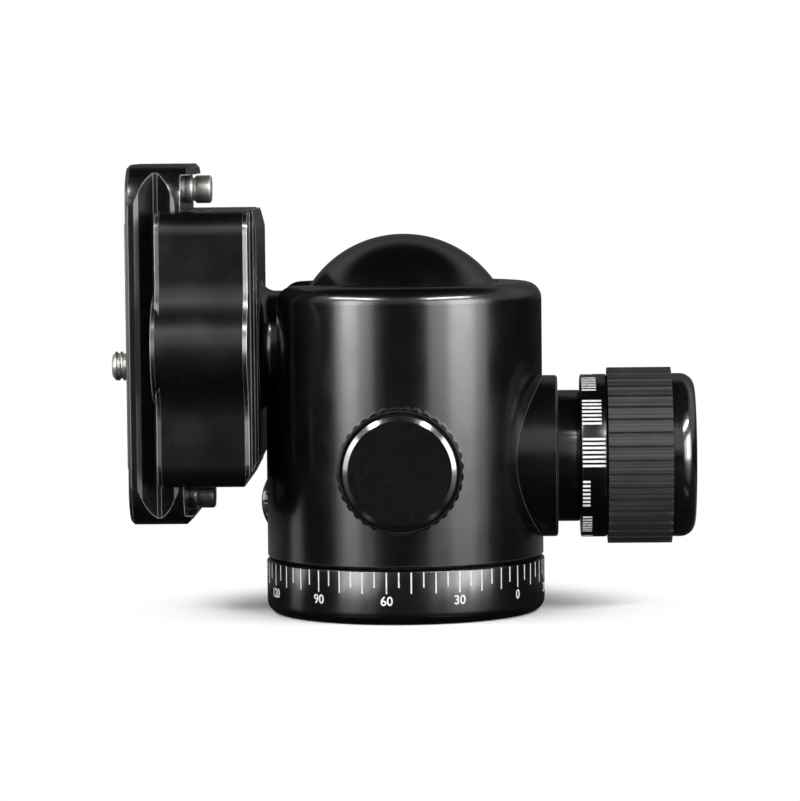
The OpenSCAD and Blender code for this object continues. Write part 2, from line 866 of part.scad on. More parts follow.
// The clamp's block: flats, round corners, bevelled edges and a slope across each end
module clamp_block() {
    difference() {
        translate([clamp_shift, 0, clamp_step])
            bevelled_tile(clamp_len, clamp_w, jaw_h, clamp_corner, clamp_bevel, clamp_slant);
        end_slope(-1, toe_deep, toe_run);
        end_slope(1, heel_deep, heel_run);
    }
}

// The swell on the fixed side: a disc that stands a little proud, blended in by two hollows
module clamp_swell() {
    translate([clamp_shift, 0, clamp_step]) {
        translate([0, -swell_y, 0])
            bevelled_disc(swell_r, swell_top - clamp_step, clamp_bevel, 0, clamp_slant);
        difference() {
            bevelled_web();
            for (side = [-1, 1]) translate([side * valley_x, -valley_y, 0]) flared_hollow();
        }
    }
}

// The web between the swell and the flats, before its hollows are cut
module bevelled_web() {
    for (side = [-1, 1])
        linear_extrude(height = jaw_h) polygon([
            [0, -swell_y], [side * valley_x, -valley_y], [side * valley_x, -swell_y]
        ]);
}

// A round cutter that widens by the bevel at both ends
module flared_hollow() {
    r = swell_r;
    b = clamp_bevel;
    wide = r + (b + 1) * clamp_slant;
    rotate_extrude() polygon([
        [0, -1], [wide, -1], [r, b], [r, jaw_h - b], [wide, jaw_h + 1], [0, jaw_h + 1]
    ]);
}

// The dovetail channel: flat floor, upright sides under the lip, sloping jaws, then upright
module channel() {
    bend = neck_h + neck_slack;
    lip_y = channel_y - groove_deep;
    lip_h = bend + groove_deep;
    translate([-far / 2, 0, 0]) rotate([90, 0, 90]) linear_extrude(height = far) polygon([
        [-channel_y, floor_h_up], [channel_y, floor_h_up], [channel_y, bend], [lip_y, lip_h],
        [lip_y, far], [-lip_y, far], [-lip_y, lip_h], [-channel_y, bend]
    ]);
}

// The platform reaches into the block, so that the two are one piece
module platform() {
    difference() {
        translate([clamp_shift, 0, under])
            bevelled_tile(clamp_len, platform_w, platform_h + 2 * platform_bevel,
                          platform_corner, platform_bevel);
        end_slope(-1, toe_deep, toe_run);
        end_slope(1, heel_deep, heel_run);
        // room for the moving jaw to pass over the platform
        translate([-far / 2, body_edge, clamp_step - part_gap]) cube(far);
    }
}

// Sloping cut across one end of the clamp's underside
module end_slope(side, deep, run) {
    translate([clamp_shift + side * half_len, 0, under]) mirror([side < 0 ? 1 : 0, 0, 0])
        rotate([90, 0, 0]) linear_extrude(height = far, center = true)
            polygon([[-run, 0], [-run, -1], [1, -1], [1, deep + deep / run]]);
}

module guide_places() {
    for (side = [-1, 1]) across_clamp(clamp_shift + side * guide_pin_spread, pin_h) children();
}

module clamp_body() {
    color(ANODISED) on_stem() difference() {
        union() {
            difference() {
                clamp_block();
                translate([-far / 2, body_edge, 0]) cube(far);
            }
            clamp_swell();
            platform();
        }
        channel();
        translate([0, 0, under - eps]) cylinder(d = spigot_d + 2 * run_gap, h = spigot_len + 0.2);
        translate([0, 0, under]) cylinder(d = stem_bolt_d + 4 * run_gap, h = far);
        translate([0, 0, bolt_recess - bolt_head_h])
            cylinder(r = bolt_head_r + part_gap, h = far);
        across_clamp(clamp_shift, clamp_screw_h) translate([0, 0, -thread_end])
            cylinder(d = clamp_screw_d + 2 * run_gap, h = far);
        guide_places() {
            translate([0, 0, pin_start]) cylinder(d = guide_pin_d, h = far);
            translate([0, 0, body_edge - spring_wire * 2 * spring_turns])
                cylinder(r = spring_r + spring_wire + 0.2, h = far);
        }
    }
}

module stem_bolt() {
    color(STEEL) on_stem() difference() {
        union() {
            translate([0, 0, bolt_end]) cylinder(d = stem_bolt_d, h = bolt_recess - bolt_end - 1);
            translate([0, 0, bolt_recess - bolt_head_h])
                bevelled_disc(bolt_head_r, bolt_head_h, 0.4);
        }
        translate([0, 0, bolt_recess - 2]) cylinder(d = stem_bolt_d * 0.8, h = far, $fn = 6);
    }
}

module guide_pins() {
    color(STEEL) on_stem() guide_places()
        translate([0, 0, pin_start]) cylinder(d = guide_pin_d, h = pin_end - pin_start);
}

// Close-wound springs that push the jaw open, each drawn as a stack of joined rings
module jaw_springs() {
    pitch = spring_wire * 1.7;
    color(STEEL) on_stem() guide_places()
        for (i = [0 : spring_turns - 1])
            translate([0, 0, body_edge - spring_wire - 0.1 - i * pitch])
                rotate_extrude() translate([spring_r, 0]) circle(spring_wire, $fn = 16);
}

module clamp_jaw() {
    color(ANODISED) on_stem() difference() {
        clamp_block();
        translate([-far / 2, jaw_edge - far, 0]) cube(far);
        channel();
        across_clamp(clamp_shift, clamp_screw_h)
            cylinder(d = clamp_screw_d + 2 * run_gap, h = far);
        guide_places()
            cylinder(d = guide_pin_d + 2 * run_gap, h = pin_end + 1);
    }
}

// ---------- clamp knob ----------

module clamp_screw() {
    color(STEEL) on_stem() across_clamp(clamp_shift, clamp_screw_h)
        translate([0, 0, -thread_end])
            cylinder(d = clamp_screw_d, h = thread_end + knob_screw_end);
}

module clamp_knob() {
    color(ANODISED) on_stem() across_clamp(clamp_shift, clamp_screw_h) difference() {
        union() {
            translate([0, 0, knob_start]) cylinder(r = knob_neck_r, h = knob_neck + 1);
            translate([0, 0, knob_start + knob_neck])
                knurled_barrel(clamp_knob_d / 2, clamp_knob_w - knob_neck - knob_face_h,
                               clamp_knob_teeth, knurl_bevel);
        }
        cylinder(d = clamp_screw_d, h = knob_screw_end);
    }
}

module clamp_knob_face() {
    color(GLOSS) on_stem() across_clamp(clamp_shift, clamp_screw_h)
        translate([0, 0, knob_start + clamp_knob_w - knob_face_h])
            rounded_cap(clamp_knob_d / 2 - face_inset, knob_face_h, face_round);
}

// ---------- camera plate ----------

// The groove down one side of the plate: a V with a flat bottom and bevelled edges
module dovetail_groove(side) {
    half = plate_w / 2;
    high = neck_h + groove_h;
    in = groove_edge * 0.7;
    translate([-far / 2, 0, 0]) rotate([90, 0, 90]) linear_extrude(height = far) polygon([
        for (p = [
            [half + eps, neck_h - groove_edge], [half - in, neck_h + in],
            [half - groove_deep, neck_h + groove_deep], [half - groove_deep, high - groove_deep],
            [half - in, high - in], [half + eps, high + groove_edge],
            [half + 1, high + groove_edge], [half + 1, neck_h - groove_edge]
        ]) [side * p[0], p[1]]
    ]);
}

// Slope under the low end block, from the plate's end in to the narrow flat that is left
module low_end_slope() {
    run = end_block_len - block_tip;
    rise = end_block_h / run;
    translate([-plate_half, 0, plate_foot]) rotate([90, 0, 0])
        linear_extrude(height = far, center = true) polygon([
            [-1, rise], [run + 1, -end_block_h - rise], [-1, -end_block_h - rise]
        ]);
}

module camera_plate() {
    block_x = plate_half - end_block_len;
    color(ANODISED) on_stem() translate([plate_mid, 0, 0]) difference() {
        translate([0, 0, plate_foot - end_block_h])
            bevelled_tile(plate_len, plate_w, plate_h + end_block_h, plate_corner, plate_bevel);
        // below the dovetail only the two end blocks stay
        translate([-block_x, -far / 2, plate_foot - far]) cube([2 * block_x, far, far]);
        low_end_slope();
        for (side = [-1, 1]) {
            dovetail_groove(side);
            translate([0, side * pad_y, plate_face - pad_sink])
                translate([-pad_size[0] / 2 - run_gap, -pad_size[1] / 2 - run_gap, 0])
                    cube([pad_size[0] + 2 * run_gap, pad_size[1] + 2 * run_gap, far]);
            translate([side * stop_spread, 0, plate_foot - eps])
                cylinder(d = stop_thread_d, h = stop_thread_deep + 1);
        }
        screw_slot(slot_r, 0, far);
        screw_slot(head_r + head_gap, 0, plate_foot + head_recess_h);
        screw_slot(keeper_r + part_gap, plate_face - keeper_recess, far);
    }
}

// A slot along the plate, from one height to another
module screw_slot(r, low, high) {
    translate([0, 0, low]) {
        for (side = [-1, 1])
            translate([side * slot_travel / 2, 0, 0]) cylinder(r = r, h = high - low);
        translate([-slot_travel / 2, -r, 0]) cube([slot_travel, 2 * r, high - low]);
    }
}

module plate_pads() {
    color(RUBBER) on_stem() for (side = [-1, 1])
        translate([plate_mid - pad_size[0] / 2, side * pad_y - pad_size[1] / 2,
                   plate_face - pad_sink])
            cube([pad_size[0], pad_size[1], pad_sink + pad_proud]);
}

// Each stop is a thin flange on the plate, a narrow groove and a bevelled head
module stop_screws() {
    head_start = stop_flange + stop_groove;
    color(STEEL) on_stem() for (side = [-1, 1])
        translate([plate_mid + side * stop_spread, 0, plate_foot]) difference() {
            union() {
                translate([0, 0, -stop_flange]) cylinder(d = stop_d, h = stop_flange - run_gap);
                translate([0, 0, -head_start - 1]) cylinder(d = stop_d - 1, h = head_start);
                translate([0, 0, -stop_h])
                    bevelled_disc(stop_d / 2, stop_h - head_start, edge_bevel);
                translate([0, 0, -1]) cylinder(d = stop_thread_d, h = stop_thread_deep + 1);
            }
            translate([0, 0, -stop_h - 1]) cylinder(d = stop_thread_d, h = hex_deep, $fn = 6);
        }
}

module screw_keeper() {
    color(STEEL) on_stem() translate([screw_x, 0, plate_face - keeper_recess + run_gap])
        washer(screw_neck_r + run_gap, keeper_r, 0, keeper_h);
}

// A captive screw: head behind the plate, relieved neck in the slot, thread out in front
module camera_screw() {
    head_top = plate_foot + head_lift + head_thick;
    thread_h = camera_screw_tip - tip_bevel - thread_start;
    color(STEEL) on_stem() translate([screw_x, 0, 0]) difference() {
        union() {
            translate([0, 0, plate_foot + head_lift]) bevelled_disc(head_r, head_thick, 0.4);
            translate([0, 0, head_top - 1])
                cylinder(r = screw_neck_r, h = thread_start - head_top + 2);
            translate([0, 0, thread_start]) cylinder(d = camera_screw_d, h = thread_h);
            translate([0, 0, thread_start + thread_h])
                cylinder(d1 = camera_screw_d, d2 = camera_screw_d - 2 * tip_bevel, h = tip_bevel);
        }
        translate([0, 0, plate_foot - 1])
            cylinder(d = key_w, h = 1 + head_lift + key_deep - 1, $fn = 6);
    }
}

// ---------- nodes ----------

panning_base();
tripod_insert();
base_screws();
pan_spindle();
ball_housing();
housing_floor();
pan_bushing();
lower_pan_washer();
upper_pan_washer();
disc_spring();
lower_ball_cup();
upper_ball_ring();
lock_bushing();
lock_wedge();
lock_screw();
knob_neck_sleeve();
knob_core();
knob_grip();
knob_end_cap();
friction_dial();
drag_shoe();
drag_screw();
drag_knob();
drag_knob_face();
pan_brake_shoe();
pan_lock_screw();
pan_knob();
pan_knob_face();
ball();
clamp_body();
stem_bolt();
guide_pins();
jaw_springs();
clamp_jaw();
clamp_screw();
clamp_knob();
clamp_knob_face();
camera_plate();
plate_pads();
stop_screws();
screw_keeper();
camera_screw();
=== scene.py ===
"""Looks of a tripod ball head: finishes, engraved scales and threads over its CAD frame."""

import logging
import math
from dataclasses import dataclass
from enum import Enum
from typing import Any, Callable, Mapping, Sequence

import bmesh
import bpy
from mathutils import Matrix, Vector


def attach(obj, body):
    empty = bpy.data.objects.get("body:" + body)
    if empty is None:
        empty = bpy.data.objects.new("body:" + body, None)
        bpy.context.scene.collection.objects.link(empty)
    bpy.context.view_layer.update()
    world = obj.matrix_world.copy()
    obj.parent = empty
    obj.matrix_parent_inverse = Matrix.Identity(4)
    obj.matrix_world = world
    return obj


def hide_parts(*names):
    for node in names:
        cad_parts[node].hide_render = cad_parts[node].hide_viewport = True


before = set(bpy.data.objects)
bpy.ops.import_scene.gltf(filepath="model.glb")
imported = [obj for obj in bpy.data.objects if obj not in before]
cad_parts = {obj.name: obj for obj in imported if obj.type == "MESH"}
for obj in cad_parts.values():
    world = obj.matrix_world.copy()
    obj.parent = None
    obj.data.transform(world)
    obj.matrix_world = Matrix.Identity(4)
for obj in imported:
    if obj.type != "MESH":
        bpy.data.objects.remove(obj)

LOG = logging.getLogger("ball_head")
MM = 0.001
ROUND_STEPS = 72  # flats round a turned piece
WAVE_RATE = 20  # how many radians a wave texture runs in one unit of its scale
FILL_PROUD = 0.02  # mm that the fill of an engraved mark stands out
FILL_SUNK = 0.05  # mm that it lies under the surface
DIGIT_SUNK = 0.04  # mm that the fill of a digit lies under the surface
DIGIT_BOLD = 0.045  # mm that the cutter widens each stroke of a digit
DIGIT_SHARE = 0.72  # height of a digit as a share of the lettering's size
EASED_MM = 0.12  # width of an edge broken by tumbling
WELD_MM = 0.002  # corners nearer than this are one corner

Point = tuple[float, float, float]
Colour = tuple[float, float, float, float]
Wrap = Callable[[float, float, float], Vector]


# ---------- small tools ----------


def linear(hex_code: str) -> Colour:
    """Turns an sRGB hex colour into the linear values that a shader socket takes.

    Args:
        hex_code: The colour as "#rrggbb".

    Returns:
        Red, green, blue and alpha in linear light.
    """
    parts = [int(hex_code[i : i + 2], 16) / 255 for i in (1, 3, 5)]
    lit = [c / 12.92 if c <= 0.04045 else ((c + 0.055) / 1.055) ** 2.4 for c in parts]
    return (lit[0], lit[1], lit[2], 1.0)


def add_node(
    tree: bpy.types.NodeTree,
    kind: str,
    settings: Mapping[str | int, Any] | None = None,
    links: Mapping[str | int, bpy.types.NodeSocket] | None = None,
) -> bpy.types.Node:
    """Adds one shader node with its settings and links.

    Args:
        tree: The node tree that takes the node.
        kind: Blender's type name of the node.
        settings: Values by socket name or number, or by the node's own property name.
        links: Sockets of other nodes, by the name or number of the socket they feed.

    Returns:
        The new node.
    """
    node = tree.nodes.new(kind)
    for key, value in (settings or {}).items():
        if isinstance(key, int) or key in node.inputs:
            node.inputs[key].default_value = value
        else:
            setattr(node, key, value)
    for key, source in (links or {}).items():
        tree.links.new(source, node.inputs[key])
    return node


def new_material(name: str) -> tuple[bpy.types.Material, bpy.types.NodeTree]:
    """Makes an empty node material.

    Args:
        name: What the finish is called in a workshop.

    Returns:
        The material and its emptied node tree.
    """
    material = bpy.data.materials.new(name)
    material.use_nodes = True
    material.node_tree.nodes.clear()
    return material, material.node_tree


def mesh_object(
    name: str, mesh: bpy.types.Mesh, material: bpy.types.Material
) -> bpy.types.Object:
    """Puts a mesh into the scene under a name with one finish.

    Args:
        name: The piece's name.
        mesh: Its mesh, already in the shared frame.
        material: Its finish.

    Returns:
        The new object.
    """
    obj = bpy.data.objects.new(name, mesh)
    bpy.context.scene.collection.objects.link(obj)
    mesh.materials.append(material)
    return obj


def axis_frame(origin: Point, out: Point, side: Point) -> Matrix:
    """Builds the matrix of a turned piece: local Z along its axis, local X to one side.

    Args:
        origin: Where local zero lies, in metres.
        out: The axis, as a unit vector.
        side: The direction of local X, square to the axis.

    Returns:
        The matrix from the piece's own frame to the shared frame.
    """
    z_axis = Vector(out)
    x_axis = Vector(side)
    y_axis = z_axis.cross(x_axis)
    turn = Matrix((x_axis, y_axis, z_axis)).transposed().to_4x4()
    return Matrix.Translation(Vector(origin)) @ turn


def rectangle(x0: float, x1: float, y0: float, y1: float) -> list[tuple[float, float]]:
    """Gives the corners of a rectangle, in order."""
    return [(x0, y0), (x1, y0), (x1, y1), (x0, y1)]


# ---------- finishes ----------


@dataclass(frozen=True)
class AnodisedAluminium:
    """Bead-blasted, black anodised aluminium: deep satin black with a very fine tooth.

    The dyed oxide is glassy, so highlights are soft and neutral. Along sharp edges a pale
    metallic hairline is painted in: partly dye worn thin, partly a painted highlight.
    """

    name: str = "black_anodised_aluminium"
    dye: str = "#030304"
    bare_and_glint: str = "#e4e4e6"
    roughness: float = 0.2
    smoother: float = 0.035
    rougher: float = 0.045
    cloud_mm: float = 9.0
    tooth_mm: float = 0.35
    tooth_depth: float = 0.05
    tooth_height_mm: float = 0.05
    edge_mm: float = 0.2
    edge_share: float = 0.3
    edge_starts: float = 0.985
    edge_full: float = 0.9
    oxide_ior: float = 1.77

    def build(self) -> bpy.types.Material:
        """Makes the material.

        Returns:
            The finished material.
        """
        material, tree = new_material(self.name)
        place = add_node(tree, "ShaderNodeTexCoord").outputs["Object"]
        # the blasted tooth is about 0.1 mm; drawn at 0.35 mm so that it shows at all
        tooth = add_node(
            tree, "ShaderNodeTexNoise",
            {"Scale": 1 / (self.tooth_mm * MM), "Detail": 3.0, "Roughness": 0.6},
            {"Vector": place},
        )
        cloud = add_node(
            tree, "ShaderNodeTexNoise",
            {"Scale": 1 / (self.cloud_mm * MM), "Detail": 4.0}, {"Vector": place},
        )
        rough = add_node(
            tree, "ShaderNodeMapRange",
            {"From Min": 0.3, "From Max": 0.7, "To Min": self.roughness - self.smoother,
             "To Max": self.roughness + self.rougher},
            {"Value": cloud.outputs["Fac"]},
        )
        # an edge is where the rounded normal turns away from the true one
        softened = add_node(
            tree, "ShaderNodeBevel", {"samples": 8, "Radius": self.edge_mm * MM}
        )
        surface = add_node(tree, "ShaderNodeNewGeometry")
        facing = add_node(
            tree, "ShaderNodeVectorMath", {"operation": "DOT_PRODUCT"},
            {0: softened.outputs["Normal"], 1: surface.outputs["Normal"]},
        )
        edge = add_node(
            tree, "ShaderNodeMapRange",
            {"From Min": self.edge_starts, "From Max": self.edge_full,
             "To Max": self.edge_share},
            {"Value": facing.outputs["Value"]},
        )
        # the edge mask paints a pale metallic hairline: partly worn dye, partly a painted
        # highlight
        patchy = add_node(
            tree, "ShaderNodeMath", {"operation": "MULTIPLY"},
            {0: edge.outputs["Result"], 1: cloud.outputs["Fac"]},
        )
        colour = add_node(
            tree, "ShaderNodeMix",
            {"data_type": "RGBA", 6: linear(self.dye), 7: linear(self.bare_and_glint)},
            {0: patchy.outputs["Value"]},
        )
        bump = add_node(
            tree, "ShaderNodeBump",
            {"Strength": self.tooth_depth, "Distance": self.tooth_height_mm * MM},
            {"Height": tooth.outputs["Fac"]},
        )
        shader = add_node(
            tree, "ShaderNodeBsdfPrincipled", {"IOR": self.oxide_ior},
            {"Base Color": colour.outputs[2], "Roughness": rough.outputs["Result"],
             "Metallic": patchy.outputs["Value"], "Normal": bump.outputs["Normal"]},
        )
        add_node(tree, "ShaderNodeOutputMaterial", {}, {"Surface": shader.outputs["BSDF"]})
        return material


@dataclass(frozen=True)
class PolishedBlack:
    """Polished, black anodised aluminium: glassy black with a few fine rub marks."""

    name: str = "polished_black_anodising"
    dye: str = "#040405"
    rubbed: str = "#0c0c0e"
    roughness: float = 0.13
    smoother: float = 0.02
    rougher: float = 0.06
    film_ior: float = 2.2
    rub_mm: float = 1.6
    rub_depth: float = 0.03
    rub_height_mm: float = 0.03

    def build(self) -> bpy.types.Material:
        """Makes the material.

        Returns:
            The finished material.
        """
        material, tree = new_material(self.name)
        place = add_node(tree, "ShaderNodeTexCoord").outputs["Object"]
        rub = add_node(
            tree, "ShaderNodeTexNoise",
            {"Scale": 1 / (self.rub_mm * MM), "Detail": 5.0, "Distortion": 1.2},
            {"Vector": place},
        )
        rough = add_node(
            tree, "ShaderNodeMapRange",
            {"From Min": 0.35, "From Max": 0.75, "To Min": self.roughness - self.smoother,
             "To Max": self.roughness + self.rougher},
            {"Value": rub.outputs["Fac"]},
        )
        tone = add_node(
            tree, "ShaderNodeMix",
            {"data_type": "RGBA", 6: linear(self.dye), 7: linear(self.rubbed)},
            {0: rub.outputs["Fac"]},
        )
        bump = add_node(
            tree, "ShaderNodeBump",
            {"Strength": self.rub_depth, "Distance": self.rub_height_mm * MM},
            {"Height": rub.outputs["Fac"]},
        )
        shader = add_node(
            tree, "ShaderNodeBsdfPrincipled", {"IOR": self.film_ior},
            {"Base Color": tone.outputs[2], "Roughness": rough.outputs["Result"],
             "Normal": bump.outputs["Normal"]},
        )
        add_node(tree, "ShaderNodeOutputMaterial", {}, {"Surface": shader.outputs["BSDF"]})
        return material


@dataclass(frozen=True)
class MouldedRubber:
    """Moulded nitrile rubber: dull dark grey, a little paler where hands have polished it.

    The grip's flutes carry finer ribs from the mould, which run along the knob's axis;
    the gaps between them keep the darker body colour as painted shade.
    """

    name: str = "moulded_rubber"
    body: str = "#171718"
    bloom: str = "#2b2b2d"
    roughness: float = 0.55
    smoother: float = 0.06
    rougher: float = 0.1
    rubber_ior: float = 1.52
    bloom_mm: float = 5.0
    pore_mm: float = 0.3
    pore_depth: float = 0.25
    pore_height_mm: float = 0.04
    rib_count: int = 0
    rib_height: float = 4.0
    axis_z: float = 33.2

    def build(self) -> bpy.types.Material:
        """Makes the material.

        Returns:
            The finished material.
        """
        material, tree = new_material(self.name)
        place = add_node(tree, "ShaderNodeTexCoord").outputs["Object"]
        pores = add_node(
            tree, "ShaderNodeTexNoise",
            {"Scale": 1 / (self.pore_mm * MM), "Detail": 2.0}, {"Vector": place},
        )
        bloom = add_node(
            tree, "ShaderNodeTexNoise",
            {"Scale": 1 / (self.bloom_mm * MM), "Detail": 5.0}, {"Vector": place},
        )
        share, height = bloom.outputs["Fac"], pores.outputs["Fac"]
        if self.rib_count:
            ribs = self.ribs(tree, place)
            # the paler colour stays on the rib crests; the gaps keep the darker body colour
            # as painted shade in the grooves
            share = add_node(
                tree, "ShaderNodeMath", {"operation": "MULTIPLY"}, {0: share, 1: ribs}
            ).outputs["Value"]
            height = add_node(
                tree, "ShaderNodeMath", {"operation": "MULTIPLY_ADD", 1: self.rib_height},
                {0: ribs, 2: height},
            ).outputs["Value"]
        colour = add_node(
            tree, "ShaderNodeMix",
            {"data_type": "RGBA", 6: linear(self.body), 7: linear(self.bloom)}, {0: share},
        )
        rough = add_node(
            tree, "ShaderNodeMapRange",
            {"From Min": 0.3, "From Max": 0.7, "To Min": self.roughness - self.smoother,
             "To Max": self.roughness + self.rougher},
            {"Value": bloom.outputs["Fac"]},
        )
        bump = add_node(
            tree, "ShaderNodeBump",
            {"Strength": self.pore_depth, "Distance": self.pore_height_mm * MM},
            {"Height": height},
        )
        shader = add_node(
            tree, "ShaderNodeBsdfPrincipled", {"IOR": self.rubber_ior},
            {"Base Color": colour.outputs[2], "Roughness": rough.outputs["Result"],
             "Normal": bump.outputs["Normal"]},
        )
        add_node(tree, "ShaderNodeOutputMaterial", {}, {"Surface": shader.outputs["BSDF"]})
        return material

    def ribs(
        self, tree: bpy.types.NodeTree, place: bpy.types.NodeSocket
    ) -> bpy.types.NodeSocket:
        """Draws the fine ribs round the knob's axis.

        Args:
            tree: The node tree of the material.
            place: The socket that gives the piece's own coordinates.

        Returns:
            A socket that goes from 0 in a gap to 1 on a rib.
        """
        spot = add_node(tree, "ShaderNodeSeparateXYZ", {}, {0: place})
        up = add_node(
            tree, "ShaderNodeMath", {"operation": "SUBTRACT", 1: self.axis_z * MM},
            {0: spot.outputs["Z"]},
        )
        turn = add_node(
            tree, "ShaderNodeMath", {"operation": "ARCTAN2"},
            {0: spot.outputs["Y"], 1: up.outputs["Value"]},
        )
        ripple = add_node(
            tree, "ShaderNodeMath", {"operation": "MULTIPLY", 1: float(self.rib_count)},
            {0: turn.outputs["Value"]},
        )
        wave = add_node(
            tree, "ShaderNodeMath", {"operation": "SINE"}, {0: ripple.outputs["Value"]}
        )
        return add_node(
            tree, "ShaderNodeMapRange", {"From Min": -1.0, "From Max": 1.0},
            {"Value": wave.outputs["Value"]},
        ).outputs["Result"]


@dataclass(frozen=True)
class TurnedMetal:
    """Bare turned metal: bright, with fine rings left by the tool and a faint dulling."""

    name: str
    metal: str
    dull: str
    roughness: float
    smoother: float = 0.05
    rougher: float = 0.12
    dulling_mm: float = 2.5
    ring_mm: float = 0.22
    ring_depth: float = 0.06
    ring_height_mm: float = 0.02

    def build(self) -> bpy.types.Material:
        """Makes the material.

        Returns:
            The finished material.
        """
        material, tree = new_material(self.name)
        place = add_node(tree, "ShaderNodeTexCoord").outputs["Object"]
        rings = add_node(
            tree, "ShaderNodeTexWave",
            {"wave_type": "RINGS", "rings_direction": "X",
             "Scale": 1 / (self.ring_mm * MM * WAVE_RATE), "Distortion": 0.6,
             "Detail": 2.0},
            {"Vector": place},
        )
        dulling = add_node(
            tree, "ShaderNodeTexNoise",
            {"Scale": 1 / (self.dulling_mm * MM), "Detail": 5.0}, {"Vector": place},
        )
        colour = add_node(
            tree, "ShaderNodeMix",
            {"data_type": "RGBA", 6: linear(self.metal), 7: linear(self.dull)},
            {0: dulling.outputs["Fac"]},
        )
        rough = add_node(
            tree, "ShaderNodeMapRange",
            {"From Min": 0.3, "From Max": 0.7, "To Min": self.roughness - self.smoother,
             "To Max": self.roughness + self.rougher},
            {"Value": dulling.outputs["Fac"]},
        )
        bump = add_node(
            tree, "ShaderNodeBump",
            {"Strength": self.ring_depth, "Distance": self.ring_height_mm * MM},
            {"Height": rings.outputs["Fac"]},
        )
        shader = add_node(
            tree, "ShaderNodeBsdfPrincipled", {"Metallic": 1.0},
            {"Base Color": colour.outputs[2], "Roughness": rough.outputs["Result"],
             "Normal": bump.outputs["Normal"]},
        )
        add_node(tree, "ShaderNodeOutputMaterial", {}, {"Surface": shader.outputs["BSDF"]})
        return material


@dataclass(frozen=True)
class Acetal:
    """Turned acetal plastic: milky white, waxy, with a soft sheen."""

    name: str = "turned_acetal"
    body: str = "#e3dfd3"
    haze: str = "#d6d1c2"
    haze_mm: float = 4.0
    roughness: float = 0.42
    acetal_ior: float = 1.48

    def build(self) -> bpy.types.Material:
        """Makes the material.

        Returns:
            The finished material.
        """
        material, tree = new_material(self.name)
        place = add_node(tree, "ShaderNodeTexCoord").outputs["Object"]
        haze = add_node(
            tree, "ShaderNodeTexNoise",
            {"Scale": 1 / (self.haze_mm * MM), "Detail": 3.0}, {"Vector": place},
        )
        colour = add_node(
            tree, "ShaderNodeMix",
            {"data_type": "RGBA", 6: linear(self.body), 7: linear(self.haze)},
            {0: haze.outputs["Fac"]},
        )
        shader = add_node(
            tree, "ShaderNodeBsdfPrincipled",
            {"IOR": self.acetal_ior, "Roughness": self.roughness},
            {"Base Color": colour.outputs[2]},
        )
        add_node(tree, "ShaderNodeOutputMaterial", {}, {"Surface": shader.outputs["BSDF"]})
        return material


@dataclass(frozen=True)
class EngravedFill:
    """White enamel wiped into laser-engraved marks: matte, slightly uneven."""

    name: str = "white_engraving_fill"
    fill: str = "#bcbcba"
    thin: str = "#868685"
    wipe_mm: float = 0.9
    thin_starts: float = 0.52
    thin_full: float = 0.78
    roughness: float = 0.6
    enamel_ior: float = 1.5

    def build(self) -> bpy.types.Material:
        """Makes the material.

        Returns:
            The finished material.
        """
        material, tree = new_material(self.name)
        place = add_node(tree, "ShaderNodeTexCoord").outputs["Object"]
        wipe = add_node(
            tree, "ShaderNodeTexNoise",
            {"Scale": 1 / (self.wipe_mm * MM), "Detail": 4.0}, {"Vector": place},
        )
        cover = add_node(
            tree, "ShaderNodeMapRange",
            {"From Min": self.thin_starts, "From Max": self.thin_full},
            {"Value": wipe.outputs["Fac"]},
        )
        colour = add_node(
            tree, "ShaderNodeMix",
            {"data_type": "RGBA", 6: linear(self.fill), 7: linear(self.thin)},
            {0: cover.outputs["Result"]},
        )
        shader = add_node(
            tree, "ShaderNodeBsdfPrincipled",
            {"IOR": self.enamel_ior, "Roughness": self.roughness},
            {"Base Color": colour.outputs[2]},
        )
        add_node(tree, "ShaderNodeOutputMaterial", {}, {"Surface": shader.outputs["BSDF"]})
        return material


